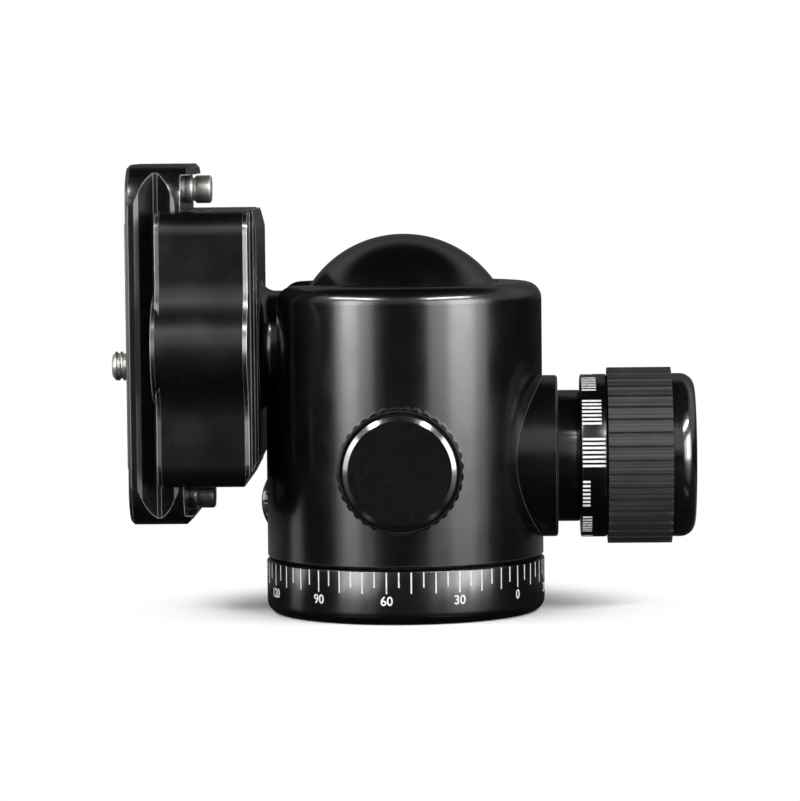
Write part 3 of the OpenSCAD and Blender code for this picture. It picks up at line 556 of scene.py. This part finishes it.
@dataclass(frozen=True)
class SweepPaper:
    """White studio sweep under a sheet of clear acrylic, plain white a few fingers off.

    The lens sees white paper with a soft shadow at the foot. Metal sees the sheet, which
    mirrors the lamps and the white wall behind the head, over a faint glow painted onto
    the paper behind the head in place of lit paper.
    """

    name: str = "white_sweep_paper"
    paper: str = "#f4f4f3"
    paper_roughness: float = 0.9
    paper_sheen: float = 0.1
    near_mm: float = 27.0
    far_mm: float = 64.0
    sheet_ior: float = 1.45
    sheet_roughness: float = 0.12
    sheet_share: float = 0.35
    room: float = 0.01
    near_glow: float = 0.2
    glow_behind_mm: tuple[float, float] = (20.0, 100.0)
    glow_reach_mm: tuple[float, float] = (140.0, 300.0)

    def build(self) -> bpy.types.Material:
        """Makes the material.

        Returns:
            The finished material.
        """
        material, tree = new_material(self.name)
        spot = add_node(tree, "ShaderNodeNewGeometry").outputs["Position"]
        reach = add_node(tree, "ShaderNodeVectorMath", {"operation": "LENGTH"}, {0: spot})
        away = add_node(
            tree, "ShaderNodeMapRange",
            {"interpolation_type": "SMOOTHSTEP", "From Min": self.near_mm * MM,
             "From Max": self.far_mm * MM},
            {"Value": reach.outputs["Value"]},
        )
        rays = add_node(tree, "ShaderNodeLightPath")
        shiny = add_node(
            tree, "ShaderNodeMath", {"operation": "MAXIMUM"},
            {0: rays.outputs["Is Glossy Ray"], 1: rays.outputs["Is Transmission Ray"]},
        )
        share = add_node(
            tree, "ShaderNodeMath", {"operation": "MULTIPLY"},
            {0: away.outputs["Result"], 1: rays.outputs["Is Camera Ray"]},
        )
        matt = add_node(
            tree, "ShaderNodeBsdfPrincipled",
            {"Base Color": linear(self.paper), "Roughness": self.paper_roughness,
             "Specular IOR Level": self.paper_sheen},
        )
        white = add_node(tree, "ShaderNodeEmission", {"Color": linear("#ffffff")})
        # the sheet mirrors only at a grazing angle, so what faces down stays dark
        graze = add_node(tree, "ShaderNodeFresnel", {"IOR": self.sheet_ior})
        mirrored = add_node(
            tree, "ShaderNodeMath", {"operation": "MULTIPLY", 1: self.sheet_share},
            {0: graze.outputs["Fac"]},
        )
        gloss = add_node(
            tree, "ShaderNodeBsdfAnisotropic", {"Roughness": self.sheet_roughness}
        )
        # a glow painted onto the paper behind the head, seen only in reflections, stands in
        # for lit paper there
        depth = add_node(tree, "ShaderNodeSeparateXYZ", {}, {0: spot})
        behind_from, behind_full = self.glow_behind_mm
        behind = add_node(
            tree, "ShaderNodeMapRange",
            {"interpolation_type": "SMOOTHSTEP", "From Min": behind_from * MM,
             "From Max": behind_full * MM, "To Max": self.near_glow},
            {"Value": depth.outputs["Y"]},
        )
        full_to, none_from = self.glow_reach_mm
        close = add_node(
            tree, "ShaderNodeMapRange",
            {"interpolation_type": "SMOOTHSTEP", "From Min": none_from * MM,
             "From Max": full_to * MM},
            {"Value": reach.outputs["Value"]},
        )
        level = add_node(
            tree, "ShaderNodeMath", {"operation": "MULTIPLY_ADD", 2: self.room},
            {0: behind.outputs["Result"], 1: close.outputs["Result"]},
        )
        painted_floor_glow = add_node(
            tree, "ShaderNodeEmission", {"Color": linear("#ffffff")},
            {"Strength": level.outputs["Value"]},
        )
        sheet = add_node(
            tree, "ShaderNodeMixShader", {},
            {0: mirrored.outputs["Value"], 1: painted_floor_glow.outputs["Emission"],
             2: gloss.outputs["BSDF"]},
        )
        plain = add_node(
            tree, "ShaderNodeMixShader", {},
            {0: share.outputs["Value"], 1: matt.outputs["BSDF"],
             2: white.outputs["Emission"]},
        )
        mix = add_node(
            tree, "ShaderNodeMixShader", {},
            {0: shiny.outputs["Value"], 1: plain.outputs["Shader"],
             2: sheet.outputs["Shader"]},
        )
        add_node(tree, "ShaderNodeOutputMaterial", {}, {"Surface": mix.outputs["Shader"]})
        return material


class Finish(Enum):
    """Every finish of the head."""

    # turned, blasted and dyed: soft neutral highlights; thin pale edges, partly worn dye
    # and partly painted highlight
    SATIN = AnodisedAluminium()
    # milled, then blasted: duller, with bright hairlines along its edges, partly worn dye
    # and partly painted highlight
    BLASTED = AnodisedAluminium(
        name="blasted_black_aluminium", roughness=0.25, edge_mm=0.42, edge_share=1.0
    )
    # honed before anodising, so the ball mirrors the lamps more sharply
    HONED = AnodisedAluminium(
        name="honed_black_ball", roughness=0.17, tooth_depth=0.02, tooth_mm=0.5
    )
    # buffed caps and faces: glassy, with hard-edged highlights
    POLISHED = PolishedBlack()
    # plain moulded strips: dull and a shade paler than the metal
    RUBBER = MouldedRubber()
    # the knob's grip: the same rubber with fine moulded ribs
    RIBBED_RUBBER = MouldedRubber(name="fluted_rubber_grip", rib_count=120)
    # screws, pins and springs: bright grey with tool rings
    STEEL = TurnedMetal("turned_stainless_steel", "#eceae7", "#cfcdc9", 0.34)
    # cup, shoes and bushing: warm yellow, dulled by handling
    BRASS = TurnedMetal("turned_brass", "#c8a05a", "#9a7638", 0.3)
    # washers and bearing sleeve: waxy white
    ACETAL = Acetal()
    # the marks of the scales: matte white that wears thin in places
    FILL = EngravedFill()


Shelf = Mapping[Finish, bpy.types.Material]


# ---------- mesh work ----------


class MeshShop:
    """Mesh operations that several of the head's pieces need."""

    @staticmethod
    def skin(rings: Sequence[Sequence[Vector]]) -> bpy.types.Mesh:
        """Skins a list of closed rings into a solid, filled at both ends.

        Args:
            rings: Rings of points, each as long as the next.

        Returns:
            The mesh, with its faces pointing outwards.
        """
        bm = bmesh.new()
        made = [[bm.verts.new(p) for p in ring] for ring in rings]
        count = len(rings[0])
        for low, high in zip(made, made[1:]):
            for i in range(count):
                j = (i + 1) % count
                bm.faces.new((low[i], low[j], high[j], high[i]))
        bm.faces.new(list(reversed(made[0])))
        bm.faces.new(made[-1])
        bmesh.ops.recalc_face_normals(bm, faces=bm.faces)
        mesh = bpy.data.meshes.new("skin")
        bm.to_mesh(mesh)
        bm.free()
        for face in mesh.polygons:
            face.use_smooth = len(face.vertices) == 4
        return mesh

    @staticmethod
    def ring(height: float, radii: Sequence[float], place: Matrix) -> list[Vector]:
        """Lays a ring of points round the axis of a turned piece.

        Args:
            height: Where the ring lies along the axis, in millimetres.
            radii: The radius at each of its points, in millimetres.
            place: The matrix from the turned frame to the shared frame.

        Returns:
            The points in the shared frame.
        """
        points = []
        for i, r in enumerate(radii):
            a = 2 * math.pi * i / len(radii)
            points.append(place @ (Vector((r * math.cos(a), r * math.sin(a), height)) * MM))
        return points

    @staticmethod
    def rings(profile: Sequence[tuple[float, float]], place: Matrix) -> list[list[Vector]]:
        """Turns each (height, radius) point of a profile into a ring."""
        return [MeshShop.ring(h, [r] * ROUND_STEPS, place) for h, r in profile]

    @staticmethod
    def thread(
        crest: float, root: float, pitch: float, low: float, high: float, place: Matrix,
        starts: Sequence[tuple[float, float]], ends: Sequence[tuple[float, float]],
    ) -> bpy.types.Mesh:
        """Cuts a right-handed V thread along a bar.

        Args:
            crest: Radius of the crests, in millimetres.
            root: Radius of the roots.
            pitch: Lead of one turn.
            low: Where the thread starts along the axis.
            high: Where it ends.
            place: The matrix from the bar's frame to the shared frame.
            starts: Plain (height, radius) points before the thread.
            ends: Plain (height, radius) points after the thread.

        Returns:
            The threaded mesh.
        """
        rings_per_turn = 14
        run_out = 0.6 * pitch
        half_groove = 0.42  # of a pitch; the rest is the flat on the crest
        count = max(2, round((high - low) / pitch * rings_per_turn))
        rings = MeshShop.rings(starts, place)
        for k in range(count + 1):
            h = low + (high - low) * k / count
            fade = max(0.0, min(1.0, (h - low) / run_out, (high - h) / run_out))
            radii = []
            for i in range(ROUND_STEPS):
                a = 2 * math.pi * i / ROUND_STEPS
                phase = (h / pitch - a / (2 * math.pi)) % 1.0
                depth = max(0.0, 1 - abs(phase - 0.5) / half_groove)
                radii.append(crest - (crest - root) * depth * fade)
            rings.append(MeshShop.ring(h, radii, place))
        return MeshShop.skin(rings + MeshShop.rings(ends, place))

    @staticmethod
    def join(meshes: Sequence[bpy.types.Mesh]) -> bpy.types.Mesh:
        """Puts several meshes into one, without welding them.

        Args:
            meshes: The meshes, all in one frame. They are used up.

        Returns:
            One mesh that holds them all.
        """
        bm = bmesh.new()
        for mesh in meshes:
            bm.from_mesh(mesh)
            bpy.data.meshes.remove(mesh)
        whole = bpy.data.meshes.new("joined")
        bm.to_mesh(whole)
        bm.free()
        return whole

    @staticmethod
    def mark(outline: Sequence[tuple[float, float]], wrap: Wrap) -> bpy.types.Mesh:
        """Lays the fill of one engraved mark onto a curved surface.

        Args:
            outline: Corners of the mark, in order, in the surface's own millimetres.
            wrap: Turns (first, second, proud) into a point in the shared frame.

        Returns:
            The mesh of the mark.
        """
        bm = bmesh.new()
        top = [bm.verts.new(wrap(u, v, FILL_PROUD)) for u, v in outline]
        back = [bm.verts.new(wrap(u, v, -FILL_SUNK)) for u, v in outline]
        bm.faces.new(top)
        bm.faces.new(list(reversed(back)))
        for i in range(len(outline)):
            j = (i + 1) % len(outline)
            bm.faces.new((top[i], back[i], back[j], top[j]))
        bmesh.ops.recalc_face_normals(bm, faces=bm.faces)
        mesh = bpy.data.meshes.new("mark")
        bm.to_mesh(mesh)
        bm.free()
        return mesh

    @staticmethod
    def digits(text: str, height: float, wrap: Wrap) -> bpy.types.Mesh:
        """Engraves a number onto a curved surface.

        Args:
            text: The number.
            height: Height of a digit, in millimetres.
            wrap: Turns (across, up, proud) into a point in the shared frame.

        Returns:
            The mesh of the digits, centred on the wrap's zero.
        """
        curve = bpy.data.curves.new("digits", "FONT")
        curve.body = text
        curve.align_x = curve.align_y = "CENTER"
        curve.size = height / DIGIT_SHARE
        curve.extrude = DIGIT_SUNK
        curve.offset = DIGIT_BOLD
        curve.resolution_u = 4
        holder = bpy.data.objects.new("digits", curve)
        bpy.context.scene.collection.objects.link(holder)
        graph = bpy.context.evaluated_depsgraph_get()
        mesh = bpy.data.meshes.new_from_object(holder.evaluated_get(graph))
        bpy.data.objects.remove(holder)
        bpy.data.curves.remove(curve)
        for vert in mesh.vertices:
            level = FILL_PROUD if vert.co.z > 0 else -DIGIT_SUNK
            vert.co = wrap(vert.co.x, vert.co.y, level)
        return mesh


# ---------- sub-assemblies ----------


@dataclass
class SubAssembly:
    """What every sub-assembly of the head shares: its finishes and its CAD nodes."""

    shelf: Shelf

    def build(self) -> None:
        """Adds nothing where the CAD nodes carry the whole shape."""

    def coat(self, finish: Finish, *nodes: str) -> None:
        """Gives carried-over CAD nodes one finish.

        Args:
            finish: The finish.
            nodes: Names of the CAD nodes.
        """
        material = self.shelf[finish]
        for name in nodes:
            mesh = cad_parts[name].data
            mesh.materials.clear()
            mesh.materials.append(material)
            LOG.info("dressed %s in %s", name, material.name)

    def ease(self, *nodes: str) -> None:
        """Breaks the sharp edges of CAD nodes with a small rounding, as tumbling does.

        Args:
            nodes: Names of the CAD nodes.
        """
        for name in nodes:
            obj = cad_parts[name]
            weld = obj.modifiers.new("weld", "WELD")
            weld.merge_threshold = WELD_MM * MM
            bevel = obj.modifiers.new("broken_edges", "BEVEL")
            bevel.width = EASED_MM * MM
            bevel.segments = 2
            bevel.limit_method = "ANGLE"
            bevel.angle_limit = math.radians(32)
            bevel.harden_normals = True
            bevel.use_clamp_overlap = True


@dataclass
class PanningBase(SubAssembly):
    """The base ring with its degree scale, screws and tripod thread."""

    radius: float = 30.0
    top: float = 11.3
    short_end: float = 8.1
    long_end: float = 6.8
    digit_z: float = 5.15
    digit_h: float = 1.95
    line_w: float = 0.3
    line_every: int = 5
    long_every: int = 10
    number_every: int = 30
    zero_at: float = 53.6
    socket_r: float = 4.7625
    socket_root: float = 4.0
    socket_pitch: float = 1.5875
    socket_len: float = 9.0
    thread_inset: float = 0.75
    ridge_foot: float = 0.66
    ridge_tip: float = 0.1
    ridge_seat: float = 0.02

    def around(self, degree: float, lift: float = 0.0) -> Wrap:
        """Gives the wrap of marks onto the ring at one degree of its scale.

        Args:
            degree: The degree, which grows away from the main knob.
            lift: Height of the wrap's zero, in millimetres.

        Returns:
            A function from (across, up, proud) in millimetres to a point.
        """
        bearing = math.radians(self.zero_at - degree)

        def wrap(across: float, up: float, proud: float) -> Vector:
            """Lays one point on the ring."""
            a = bearing + across / self.radius
            r = self.radius + proud
            return Vector((r * math.sin(a), -r * math.cos(a), up + lift)) * MM

        return wrap

    def build(self) -> None:
        """Engraves the scale and cuts the socket's thread."""
        half = self.line_w / 2
        marks = []
        for degree in range(0, 360, self.line_every):
            end = self.short_end if degree % self.long_every else self.long_end
            marks.append(
                MeshShop.mark(rectangle(-half, half, end, self.top), self.around(degree))
            )
            if degree % self.number_every == 0:
                marks.append(MeshShop.digits(
                    str(degree), self.digit_h, self.around(degree, self.digit_z)
                ))
        scale = mesh_object("degree_scale", MeshShop.join(marks), self.shelf[Finish.FILL])
        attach(scale, "base")
        LOG.info("built degree_scale")
        self.build_thread()

    def build_thread(self) -> None:
        """Cuts the right-handed thread in the tripod socket, as a ridge on its wall."""
        steps = 48
        turns = (self.socket_len - 2 * self.thread_inset) / self.socket_pitch
        count = round(turns * steps)
        rings = []
        for k in range(count + 1):
            a = 2 * math.pi * k / steps
            h = self.thread_inset + self.socket_pitch * k / steps
            # the ridge rises and dies out over half a turn
            fade = min(1.0, 2 * k / steps, 2 * (count - k) / steps)
            depth = (self.socket_r - self.socket_root) * fade
            section = [
                (self.ridge_foot, self.ridge_seat), (self.ridge_tip, -depth),
                (-self.ridge_tip, -depth), (-self.ridge_foot, self.ridge_seat),
            ]
            rings.append([
                Vector(((self.socket_r + d) * math.cos(a),
                        (self.socket_r + d) * math.sin(a), h + z)) * MM
                for z, d in section
            ])
        ridge = mesh_object(
            "socket_thread", MeshShop.skin(rings), self.shelf[Finish.STEEL]
        )
        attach(ridge, "base")
        LOG.info("built socket_thread")

    def dress(self) -> None:
        """Finishes the CAD nodes of the base."""
        self.coat(Finish.SATIN, "panning_base")
        self.coat(Finish.STEEL, "tripod_insert", "base_screws", "pan_spindle")
        self.ease("panning_base", "base_screws")


@dataclass
class Housing(SubAssembly):
    """The housing and what it holds round the ball and the pan bearing."""

    def dress(self) -> None:
        """Finishes the CAD nodes of the housing."""
        self.coat(Finish.SATIN, "ball_housing", "housing_floor")
        self.coat(Finish.ACETAL, "pan_bushing", "lower_pan_washer", "upper_pan_washer",
                  "upper_ball_ring")
        self.coat(Finish.STEEL, "disc_spring")
        self.coat(Finish.BRASS, "lower_ball_cup", "lock_bushing")


@dataclass
class MainKnob(SubAssembly):
    """The main lock knob with its rubber grip, polished cap and friction dial."""

    axis_z: float = 33.2
    dial_r: float = 17.55
    dial_start: float = 38.15
    lines: int = 7
    line_step: float = 3.1
    line_w: float = 0.5
    group_step: float = 30.0
    first_group: float = -83.5
    lengths: tuple[float, ...] = (
        4.9, 4.1, 3.05, 2.3, 1.9, 1.5, 1.2, 1.0, 2.4, 2.2, 2.0, 1.6
    )

    def around(self, bearing: float) -> Wrap:
        """Gives the wrap of marks onto the dial, which turns about X.

        Args:
            bearing: Degrees round the dial from its top.

        Returns:
            A function from (along, across, proud) in millimetres to a point.
        """
        def wrap(along: float, across: float, proud: float) -> Vector:
            """Lays one point on the dial."""
            a = math.radians(bearing) + across / self.dial_r
            r = self.dial_r + proud
            return Vector((along, r * math.sin(a), self.axis_z + r * math.cos(a))) * MM

        return wrap

    def build(self) -> None:
        """Engraves the dial's groups of lines, one length to each setting."""
        half = self.line_w / 2
        marks = []
        for group, length in enumerate(self.lengths):
            middle = self.first_group + group * self.group_step
            outline = rectangle(self.dial_start, self.dial_start + length, -half, half)
            for line in range(self.lines):
                bearing = middle + (line - (self.lines - 1) / 2) * self.line_step
                marks.append(MeshShop.mark(outline, self.around(bearing)))
        piece = mesh_object("dial_marks", MeshShop.join(marks), self.shelf[Finish.FILL])
        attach(piece, "dial")
        LOG.info("built dial_marks")

    def dress(self) -> None:
        """Finishes the CAD nodes of the knob and the dial."""
        self.coat(Finish.SATIN, "knob_neck_sleeve", "knob_core", "friction_dial")
        self.coat(Finish.RIBBED_RUBBER, "knob_grip")
        self.coat(Finish.POLISHED, "knob_end_cap")
        self.coat(Finish.STEEL, "lock_screw", "lock_wedge")
        self.ease("knob_neck_sleeve", "friction_dial")


@dataclass
class SmallKnobs(SubAssembly):
    """The ball friction knob at the front and the pan lock knob at the back."""

    def dress(self) -> None:
        """Finishes the CAD nodes of both knobs."""
        self.coat(Finish.SATIN, "drag_knob", "pan_knob")
        self.coat(Finish.POLISHED, "drag_knob_face", "pan_knob_face")
        self.coat(Finish.STEEL, "drag_screw", "pan_lock_screw")
        self.coat(Finish.BRASS, "drag_shoe", "pan_brake_shoe")


@dataclass
class BallAndStem(SubAssembly):
    """The ball with its neck."""

    def dress(self) -> None:
        """Finishes the ball."""
        self.coat(Finish.HONED, "ball")


@dataclass
class DovetailClamp(SubAssembly):
    """The clamp on the stem, its moving jaw and its knob."""

    def dress(self) -> None:
        """Finishes the CAD nodes of the clamp."""
        self.coat(Finish.BLASTED, "clamp_body", "clamp_jaw")
        self.coat(Finish.SATIN, "clamp_knob", "clamp_knob_face")
        self.coat(Finish.STEEL, "stem_bolt", "guide_pins", "jaw_springs", "clamp_screw")


@dataclass
class CameraPlate(SubAssembly):
    """The dovetail plate with its rubber strips, stop screws and camera screw.

    Heights of the camera screw are measured from the pan axis, along the screw.
    """

    ball_z: float = 57.4
    screw_up: float = -4.0
    head_low: float = 47.2
    head_high: float = 52.2
    head_r: float = 6.8
    head_rim: float = 0.5
    head_bevel: float = 0.3
    neck_r: float = 2.5
    neck_inside: float = 0.5
    thread_low: float = 58.4
    tip: float = 62.9
    crest: float = 3.175
    root: float = 2.55
    pitch: float = 1.27
    lead_in: float = 0.05
    shoulder: float = 0.1
    point_len: float = 0.75
    # how far each ring of the point lies before the tip and inside the crest
    point: tuple[tuple[float, float], ...] = ((0.65, 0.12), (0.1, 0.75), (0.0, 0.95))
    slot_w: float = 1.6
    slot_deep: float = 1.6
    cutter_len: float = 16.0
    cutter_over: float = 1.0

    def build(self) -> None:
        """Cuts the camera screw, head to tip, with its thread and coin slot."""
        place = axis_frame(
            (0, 0, (self.ball_z + self.screw_up) * MM), (-1, 0, 0), (0, 0, 1)
        )
        bar = MeshShop.thread(
            self.crest, self.root, self.pitch, self.thread_low + self.lead_in,
            self.tip - self.point_len, place,
            starts=[(self.head_high - self.neck_inside, self.neck_r),
                    (self.thread_low - self.lead_in, self.neck_r),
                    (self.thread_low, self.crest - self.shoulder)],
            ends=[(self.tip - back, self.crest - inside) for back, inside in self.point],
        )
        whole = MeshShop.join([bar, self.slotted_head(place)])
        screw = mesh_object("threaded_camera_screw", whole, self.shelf[Finish.STEEL])
        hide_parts("camera_screw")
        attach(screw, "screw")
        LOG.info("built threaded_camera_screw")

    def slotted_head(self, place: Matrix) -> bpy.types.Mesh:
        """Turns the screw's head and cuts its coin slot.

        Args:
            place: The matrix from the screw's frame to the shared frame.

        Returns:
            The mesh of the head.
        """
        low, high, r = self.head_low, self.head_high, self.head_r
        rim, soft, bevel = self.head_rim, self.head_rim * 0.3, self.head_bevel
        profile = [(low, r - rim), (low + soft, r - soft), (low + rim, r),
                   (high - bevel, r), (high, r - bevel), (high, self.neck_r)]
        steel = self.shelf[Finish.STEEL]
        turned = MeshShop.skin(MeshShop.rings(profile, place))
        head = mesh_object("screw_head", turned, steel)
        bm = bmesh.new()
        bmesh.ops.create_cube(bm, size=1.0)
        for vert in bm.verts:
            x, y, z = vert.co
            deep = (z + 0.5) * (self.slot_deep + self.cutter_over)
            vert.co = place @ (Vector(
                (x * self.cutter_len, y * self.slot_w, low - self.cutter_over + deep)
            ) * MM)
        slot = bpy.data.meshes.new("slot")
        bm.to_mesh(slot)
        bm.free()
        cutter = mesh_object("slot_cutter", slot, steel)
        cut = head.modifiers.new("coin_slot", "BOOLEAN")
        cut.object = cutter
        cut.operation = "DIFFERENCE"
        cut.solver = "EXACT"
        graph = bpy.context.evaluated_depsgraph_get()
        slotted = bpy.data.meshes.new_from_object(head.evaluated_get(graph))
        bpy.data.objects.remove(head)
        bpy.data.objects.remove(cutter)
        slotted.materials.clear()
        return slotted

    def dress(self) -> None:
        """Finishes the CAD nodes of the plate."""
        self.coat(Finish.BLASTED, "camera_plate")
        self.coat(Finish.RUBBER, "plate_pads")
        self.coat(Finish.STEEL, "stop_screws", "screw_keeper")
        self.ease("camera_plate", "stop_screws")


# ---------- studio ----------


def standpoint(bearing: float, distance: float, height: float) -> Vector:
    """Finds a place round the head.

    Args:
        bearing: Degrees from the front, growing towards the main knob.
        distance: How far off it is, in millimetres.
        height: How high it is, in millimetres.

    Returns:
        The place in the shared frame, in metres.
    """
    a = math.radians(bearing)
    return Vector((distance * math.sin(a), -distance * math.cos(a), height)) * MM


@dataclass(frozen=True)
class SoftBox:
    """One soft lamp, given by where it stands round the head."""

    name: str
    bearing: float
    height: float
    distance: float
    width: float
    tall: float
    watts: float
    aim: Point = (0.0, 0.0, 45.0)

    def build(self) -> None:
        """Hangs the lamp and turns it to the head."""
        lamp = bpy.data.lights.new(self.name, "AREA")
        lamp.shape = "RECTANGLE"
        lamp.size = self.width * MM
        lamp.size_y = self.tall * MM
        lamp.energy = self.watts
        obj = bpy.data.objects.new(self.name, lamp)
        bpy.context.scene.collection.objects.link(obj)
        spot = standpoint(self.bearing, self.distance, self.height)
        obj.location = spot
        look = (Vector(self.aim) * MM - spot).to_track_quat("-Z", "Y")
        obj.rotation_euler = look.to_euler()
        LOG.info("hung %s", self.name)


@dataclass
class Studio:
    """Floor, surroundings, lamps and camera.

    Edges of the light band and the wall are shares of a direction, from start to full.
    """

    floor_half: float = 3000.0
    camera_bearing: float = 1.5
    camera_distance: float = 890.0
    camera_height: float = 105.0
    target: Point = (-0.9, 0.0, 45.4)
    focal: float = 185.66
    roll: float = -0.6
    ambient: float = 0.12
    room: float = 0.012
    glow: float = 0.4
    band_foot: tuple[float, float] = (0.06, 0.3)
    band_head: tuple[float, float] = (0.8, 0.6)
    wall: float = 0.1
    wall_edge: tuple[float, float] = (0.5, 0.95)
    lamps: tuple[SoftBox, ...] = (
        SoftBox("left_card", -100, 150, 700, 160, 300, 0.6),
        SoftBox("left_softbox", -40, 190, 780, 470, 380, 2.0),
        SoftBox("left_core", -43, 190, 760, 190, 380, 1.1),
        SoftBox("right_softbox", 47, 190, 780, 780, 380, 3.3),
        SoftBox("right_core", 50, 190, 760, 320, 380, 1.8),
        SoftBox("left_strip", -45, 510, 570, 440, 45, 3.4),
        SoftBox("right_strip", 43, 510, 570, 440, 45, 3.4),
    )

    def build(self) -> None:
        """Builds everything round the head."""
        self.lay_floor()
        self.surround()
        for lamp in self.lamps:
            lamp.build()
        self.place_camera()

    def lay_floor(self) -> None:
        """Lays the white sweep under the base."""
        bm = bmesh.new()
        bmesh.ops.create_grid(bm, x_segments=8, y_segments=8, size=self.floor_half * MM)
        mesh = bpy.data.meshes.new("sweep")
        bm.to_mesh(mesh)
        bm.free()
        floor = mesh_object("studio_floor", mesh, SweepPaper().build())

    def surround(self) -> None:
        """Makes the surroundings white to look at and plain as a light.

        Metal sees the white wall behind the head and the dim room in front of it.
        """
        world = bpy.data.worlds.new("white_room")
        bpy.context.scene.world = world
        world.use_nodes = True
        tree = world.node_tree
        tree.nodes.clear()
        way = add_node(tree, "ShaderNodeTexCoord").outputs["Generated"]
        depth = add_node(tree, "ShaderNodeSeparateXYZ", {}, {0: way})
        # a faint band of light stands in front, between eye level and the dark ceiling
        rising, falling = (
            add_node(
                tree, "ShaderNodeMapRange",
                {"interpolation_type": "SMOOTHSTEP", "From Min": start, "From Max": full},
                {"Value": depth.outputs["Z"]},
            )
            for start, full in (self.band_foot, self.band_head)
        )
        band = add_node(
            tree, "ShaderNodeMath", {"operation": "MULTIPLY"},
            {0: rising.outputs["Result"], 1: falling.outputs["Result"]},
        )
        front = add_node(
            tree, "ShaderNodeMath",
            {"operation": "MULTIPLY_ADD", 1: self.glow, 2: self.room},
            {0: band.outputs["Value"]},
        )
        wall_start, wall_full = self.wall_edge
        mirrored = add_node(
            tree, "ShaderNodeMapRange",
            {"interpolation_type": "SMOOTHSTEP", "From Min": wall_start,
             "From Max": wall_full, "To Max": self.wall},
            {"Value": depth.outputs["Y"], "To Min": front.outputs["Value"]},
        )
        rays = add_node(tree, "ShaderNodeLightPath")
        shiny = add_node(
            tree, "ShaderNodeMath", {"operation": "MAXIMUM"},
            {0: rays.outputs["Is Glossy Ray"], 1: rays.outputs["Is Transmission Ray"]},
        )
        lit = add_node(
            tree, "ShaderNodeMapRange", {"To Min": self.ambient},
            {"Value": shiny.outputs["Value"], "To Max": mirrored.outputs["Result"]},
        )
        level = add_node(
            tree, "ShaderNodeMapRange", {"To Max": 1.0},
            {"Value": rays.outputs["Is Camera Ray"], "To Min": lit.outputs["Result"]},
        )
        back = add_node(
            tree, "ShaderNodeBackground", {"Color": linear("#ffffff")},
            {"Strength": level.outputs["Result"]},
        )
        add_node(
            tree, "ShaderNodeOutputWorld", {}, {"Surface": back.outputs["Background"]}
        )

    def place_camera(self) -> None:
        """Stands the camera in front of the head, a little above it."""
        camera = bpy.data.cameras.new("camera")
        camera.lens = self.focal
        camera.clip_start = 0.01
        obj = bpy.data.objects.new("camera", camera)
        bpy.context.scene.collection.objects.link(obj)
        spot = standpoint(self.camera_bearing, self.camera_distance, self.camera_height)
        look = (Vector(self.target) * MM - spot).to_track_quat("-Z", "Y")
        tilt = Matrix.Rotation(math.radians(self.roll), 4, "Z")
        obj.matrix_world = Matrix.Translation(spot) @ look.to_matrix().to_4x4() @ tilt
        bpy.context.scene.camera = obj


def main() -> None:
    """Builds and dresses the head piece by piece, then the studio round it."""
    logging.basicConfig(level=logging.INFO, format="%(name)s: %(message)s")
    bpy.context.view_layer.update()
    bpy.context.scene.view_settings.view_transform = "Standard"
    shelf = {finish: finish.value.build() for finish in Finish}
    for kind in (
        PanningBase, MainKnob, CameraPlate, Housing, SmallKnobs, BallAndStem, DovetailClamp
    ):
        part = kind(shelf)
        part.build()
        part.dress()
    Studio().build()
    LOG.info("ball head finished")


if __name__ == "__main__":
    main()
